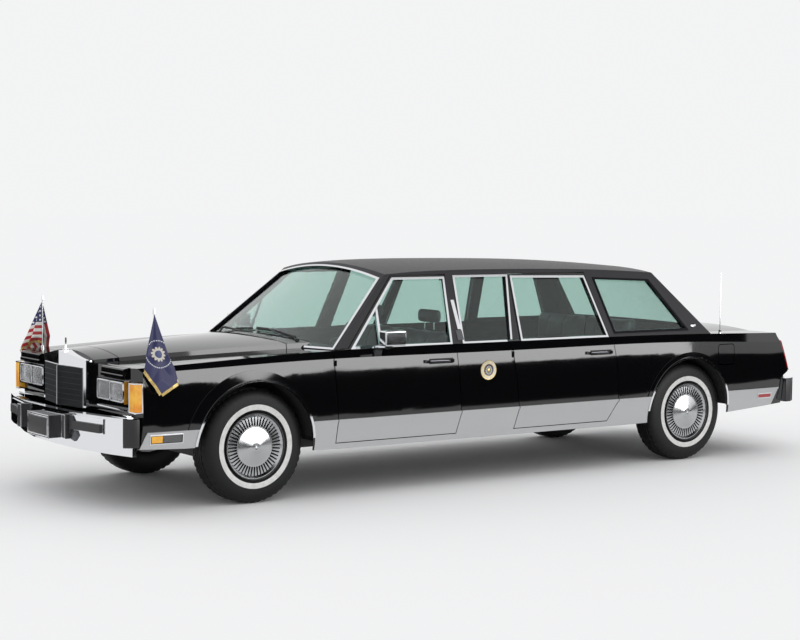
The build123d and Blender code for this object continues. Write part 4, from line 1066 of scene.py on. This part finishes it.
for side, label in SIDES:
    edge = [on_tail(side * x, z, 0.003) for x, z in
            ((0.822, 0.706), (0.93, 0.706), (0.93, 0.947), (0.822, 0.947))]
    sweep(f"tail_lamp_rim_{label}", edge, rounded(0.005, 0.004, 0.002, 2), chrome, "body", "chrome",
            up=(0, 1, 0), closed=True)
    for k in range(4):
        z = 0.754 + 0.048 * k
        sweep(f"tail_lamp_bar_{k}_{label}", [on_tail(side * 0.826, z, 0.003), on_tail(side * 0.926, z, 0.003)],
              rounded(0.002, 0.0015, 0.0008, 1), chrome, "body", "chrome", up=(0, 1, 0))
sweep("tail_bright_strip", [on_tail(-0.80, 0.678, 0.004), on_tail(-0.4, 0.678, 0.004), on_tail(0, 0.678, 0.004),
                            on_tail(0.4, 0.678, 0.004), on_tail(0.80, 0.678, 0.004)],
      rounded(0.006, 0.004, 0.002, 2), chrome, "body", "chrome", up=(0, 1, 0))


# ---------------------------------------------------------------- stage
floor_mat = new_material("floor", (0.96, 0.96, 0.962), 0.6, 0.0, Specular_IOR_Level=0.0)
vary_rough(floor_mat, noise(floor_mat, 0.5), 0.55, 0.65)
bpy.ops.mesh.primitive_plane_add(size=400, location=(0, 0, 0))
floor = bpy.context.object
floor.name = "floor"
floor.data.materials.append(floor_mat)

world = bpy.data.worlds.new("world")
bpy.context.scene.world = world
world.use_nodes = True
wt = world.node_tree
background = wt.nodes["Background"]
background.inputs["Color"].default_value = (0.93, 0.935, 0.94, 1)
background.inputs["Strength"].default_value = 1.0
backdrop = wt.nodes.new("ShaderNodeBackground")
backdrop.inputs["Color"].default_value = (0.895, 0.90, 0.905, 1)
backdrop.inputs["Strength"].default_value = 1.0
rays = wt.nodes.new("ShaderNodeLightPath")
choose = wt.nodes.new("ShaderNodeMixShader")
either = wt.nodes.new("ShaderNodeMath")
either.operation = "MAXIMUM"
wt.links.new(rays.outputs["Is Camera Ray"], either.inputs[0])
wt.links.new(rays.outputs["Is Transmission Ray"], either.inputs[1])
wt.links.new(either.outputs["Value"], choose.inputs["Fac"])
wt.links.new(background.outputs["Background"], choose.inputs[1])
wt.links.new(backdrop.outputs["Background"], choose.inputs[2])
wt.links.new(choose.outputs["Shader"], wt.nodes["World Output"].inputs["Surface"])


def area(name, location, target, size, level, diffuse=True, colour=(1, 1, 1)):
    """A soft box aimed at a point, its brightness given as radiance."""
    data = bpy.data.lights.new(name, "AREA")
    data.shape = "RECTANGLE"
    data.size, data.size_y = size
    data.energy = level * math.pi * size[0] * size[1]
    data.color = colour
    lamp = bpy.data.objects.new(name, data)
    bpy.context.scene.collection.objects.link(lamp)
    lamp.location = location
    direction = Vector(target) - Vector(location)
    lamp.rotation_euler = direction.to_track_quat("-Z", "Y").to_euler()
    lamp.visible_camera = False
    lamp.visible_diffuse = diffuse
    return lamp


# A long upright bank beside the car gives the grey band along its flank
area("side_bank", (9.0, 4.6, 3.1), (0.0, 4.6, 3.1), (11.2, 5.0), 4.6, diffuse=False)

# Black cards outside the picture, one on the floor and one overhead, which only reflections see
card_mat = new_material("card", (0.003, 0.003, 0.003), 0.9, 0.0, Specular_IOR_Level=0.0)
vary_rough(card_mat, noise(card_mat, 0.5), 0.85, 0.95)
for name, place, scale in (("floor_card", (17.2, 6.0, 0.004), (28, 34)),
        ("far_floor_card", (-8.2, 2.0, 0.004), (10, 20)),
                           ("rear_floor_card", (0, 10.0, 0.004), (6.4, 8)),
                                   ("ceiling_card", (3.2, 3.0, 9.0), (9.6, 22))):
    bpy.ops.mesh.primitive_plane_add(size=1, location=place)
    card = bpy.context.object
    card.name = name
    card.scale = (*scale, 1)
    card.data.materials.append(card_mat)
    card.visible_camera = False
    card.visible_diffuse = False
    card.visible_shadow = False
    card.visible_transmission = False

# ---------------------------------------------------------------- camera
cam = bpy.data.cameras.new("camera")
cam.sensor_width = 36
cam.lens = 80.9
cam.shift_x = 0.0127
cam.shift_y = -0.0020
cam.clip_end = 500
camera = bpy.data.objects.new("camera", cam)
bpy.context.scene.collection.objects.link(camera)
forward = Vector((-0.8141, 0.5770, -0.0657)).normalized()
up = Vector((-0.0600, 0.0289, 0.9978))
right = forward.cross(up).normalized()
up = right.cross(forward).normalized()
camera.matrix_world = Matrix(
    (
        (right.x, up.x, -forward.x, 11.5254),
        (right.y, up.y, -forward.y, -8.5381),
        (right.z, up.z, -forward.z, 2.1151),
        (0, 0, 0, 1),
    )
)
bpy.context.scene.camera = camera

bpy.context.scene.view_settings.view_transform = "Standard"
